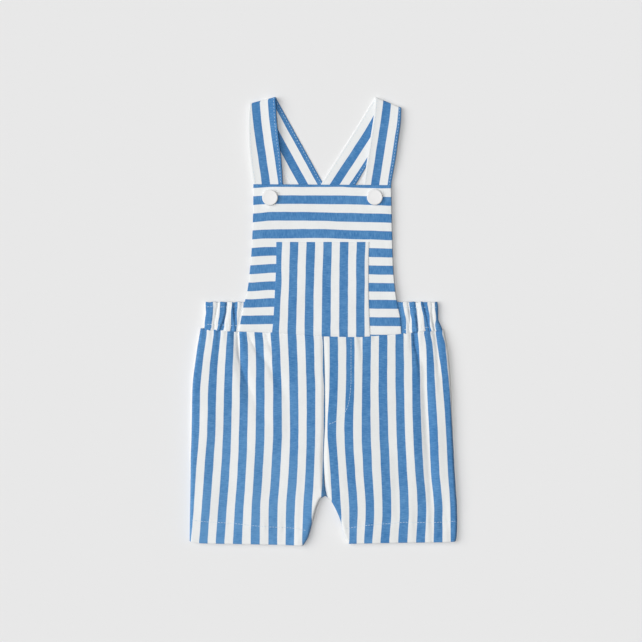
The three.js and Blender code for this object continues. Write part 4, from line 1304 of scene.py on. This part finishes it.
def moulded_button(name, x, y):
    """The section turned about its axis, lying on the bib."""
    rings = BUTTON_SECTION[1:-1]
    base = bib_middle(np.array(x), np.array(y)) + CLOTH / 2 + BUTTON_LIFT
    vertices = [(x, y, base + BUTTON_SECTION[0][1])]
    for distance, height in rings:
        for k in range(BUTTON_SIDES):
            angle = 2 * math.pi * k / BUTTON_SIDES
            vertices.append((x + distance * math.cos(angle), y + distance * math.sin(angle), base + height))
    vertices.append((x, y, base + BUTTON_SECTION[-1][1]))
    faces = []
    starts = [1 + ring * BUTTON_SIDES for ring in range(len(rings))]
    for k in range(BUTTON_SIDES):
        after = (k + 1) % BUTTON_SIDES
        faces.append((0, starts[0] + after, starts[0] + k))
        for low, high in zip(starts, starts[1:]):
            faces.append((low + k, low + after, high + after, high + k))
        faces.append((starts[-1] + k, starts[-1] + after, len(vertices) - 1))
    piece = new_piece(name, vertices, faces)
    piece.data.materials.append(PLASTIC)
    return piece


for node, (x, y) in BUTTONS.items():
    disc = moulded_button("moulded_" + node, x, y)
    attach(disc, "root")
    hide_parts(node)


# Floor
#
# A plain pale paper sheet, much wider than the view, that the garment lies on.

FLOOR_HALF = 3000.0  # half the side of the sheet
FLOOR_TOP = -0.1
PAPER_WHITE = (0.8, 0.8, 0.8, 1)


def paper():
    material, tree = new_material("pale_paper")
    place = wire(tree, "ShaderNodeTexCoord").outputs["Object"]
    give_surface(
        tree, Base_Color=PAPER_WHITE, Roughness=0.95, Specular_IOR_Level=0.0,
        Normal=bumps(tree, noise(tree, place, 700.0, 3.0), 0.05, 0.0001),
    )
    return material


corners = [(x * FLOOR_HALF, y * FLOOR_HALF, FLOOR_TOP) for x, y in ((-1, -1), (1, -1), (1, 1), (-1, 1))]
floor = new_piece("floor", corners, [(0, 1, 2, 3)])
floor.data.materials.append(paper())


# Light
#
# Soft studio light: a lamp straight above, a broad lamp on the left that
# throws the short soft shadows to the right, and a faint glow all round.

GLOW = 0.06
LAMPS = [
    # name, strength, size, height above the horizon, bearing it shines from
    ("top_lamp", 1.55, 18.0, 84.0, 180.0),
    ("side_lamp", 2.15, 48.0, 42.0, 172.0),
]

world = bpy.data.worlds.new("studio")
world.use_nodes = True
bpy.context.scene.world = world
sky = world.node_tree
sky.nodes.clear()
backdrop = wire(sky, "ShaderNodeBackground", Color=(1, 1, 1, 1), Strength=GLOW)
wire(sky, "ShaderNodeOutputWorld", Surface=backdrop.outputs[0])

for name, strength, size, height, bearing in LAMPS:
    lamp_data = bpy.data.lights.new(name, "SUN")
    lamp_data.energy = strength
    lamp_data.angle = math.radians(size)
    lamp = bpy.data.objects.new(name, lamp_data)
    bpy.context.scene.collection.objects.link(lamp)
    lamp.rotation_euler = (0, math.radians(90 - height), math.radians(bearing))

view = bpy.context.scene.view_settings
view.view_transform = "Standard"
view.look = "None"
view.exposure = 0.0
view.gamma = 1.0


# Camera
#
# A long lens straight above the garment.

CAMERA_HEIGHT = 2.5  # metres above the cloth
CLOTH_HEIGHT = 0.003  # middle height of the cloth in view
VIEW_CENTRE = (-0.00228, 0.0001)
VIEW_WIDTH = 0.6099  # in metres
SENSOR = 36.0
camera_data = bpy.data.cameras.new("camera")
camera_data.sensor_width = SENSOR
camera_data.lens = SENSOR * CAMERA_HEIGHT / VIEW_WIDTH
camera_data.clip_start = 0.1
camera_data.clip_end = 20.0
camera = bpy.data.objects.new("camera", camera_data)
camera.location = (*VIEW_CENTRE, CAMERA_HEIGHT + CLOTH_HEIGHT)
bpy.context.scene.collection.objects.link(camera)
bpy.context.scene.camera = camera
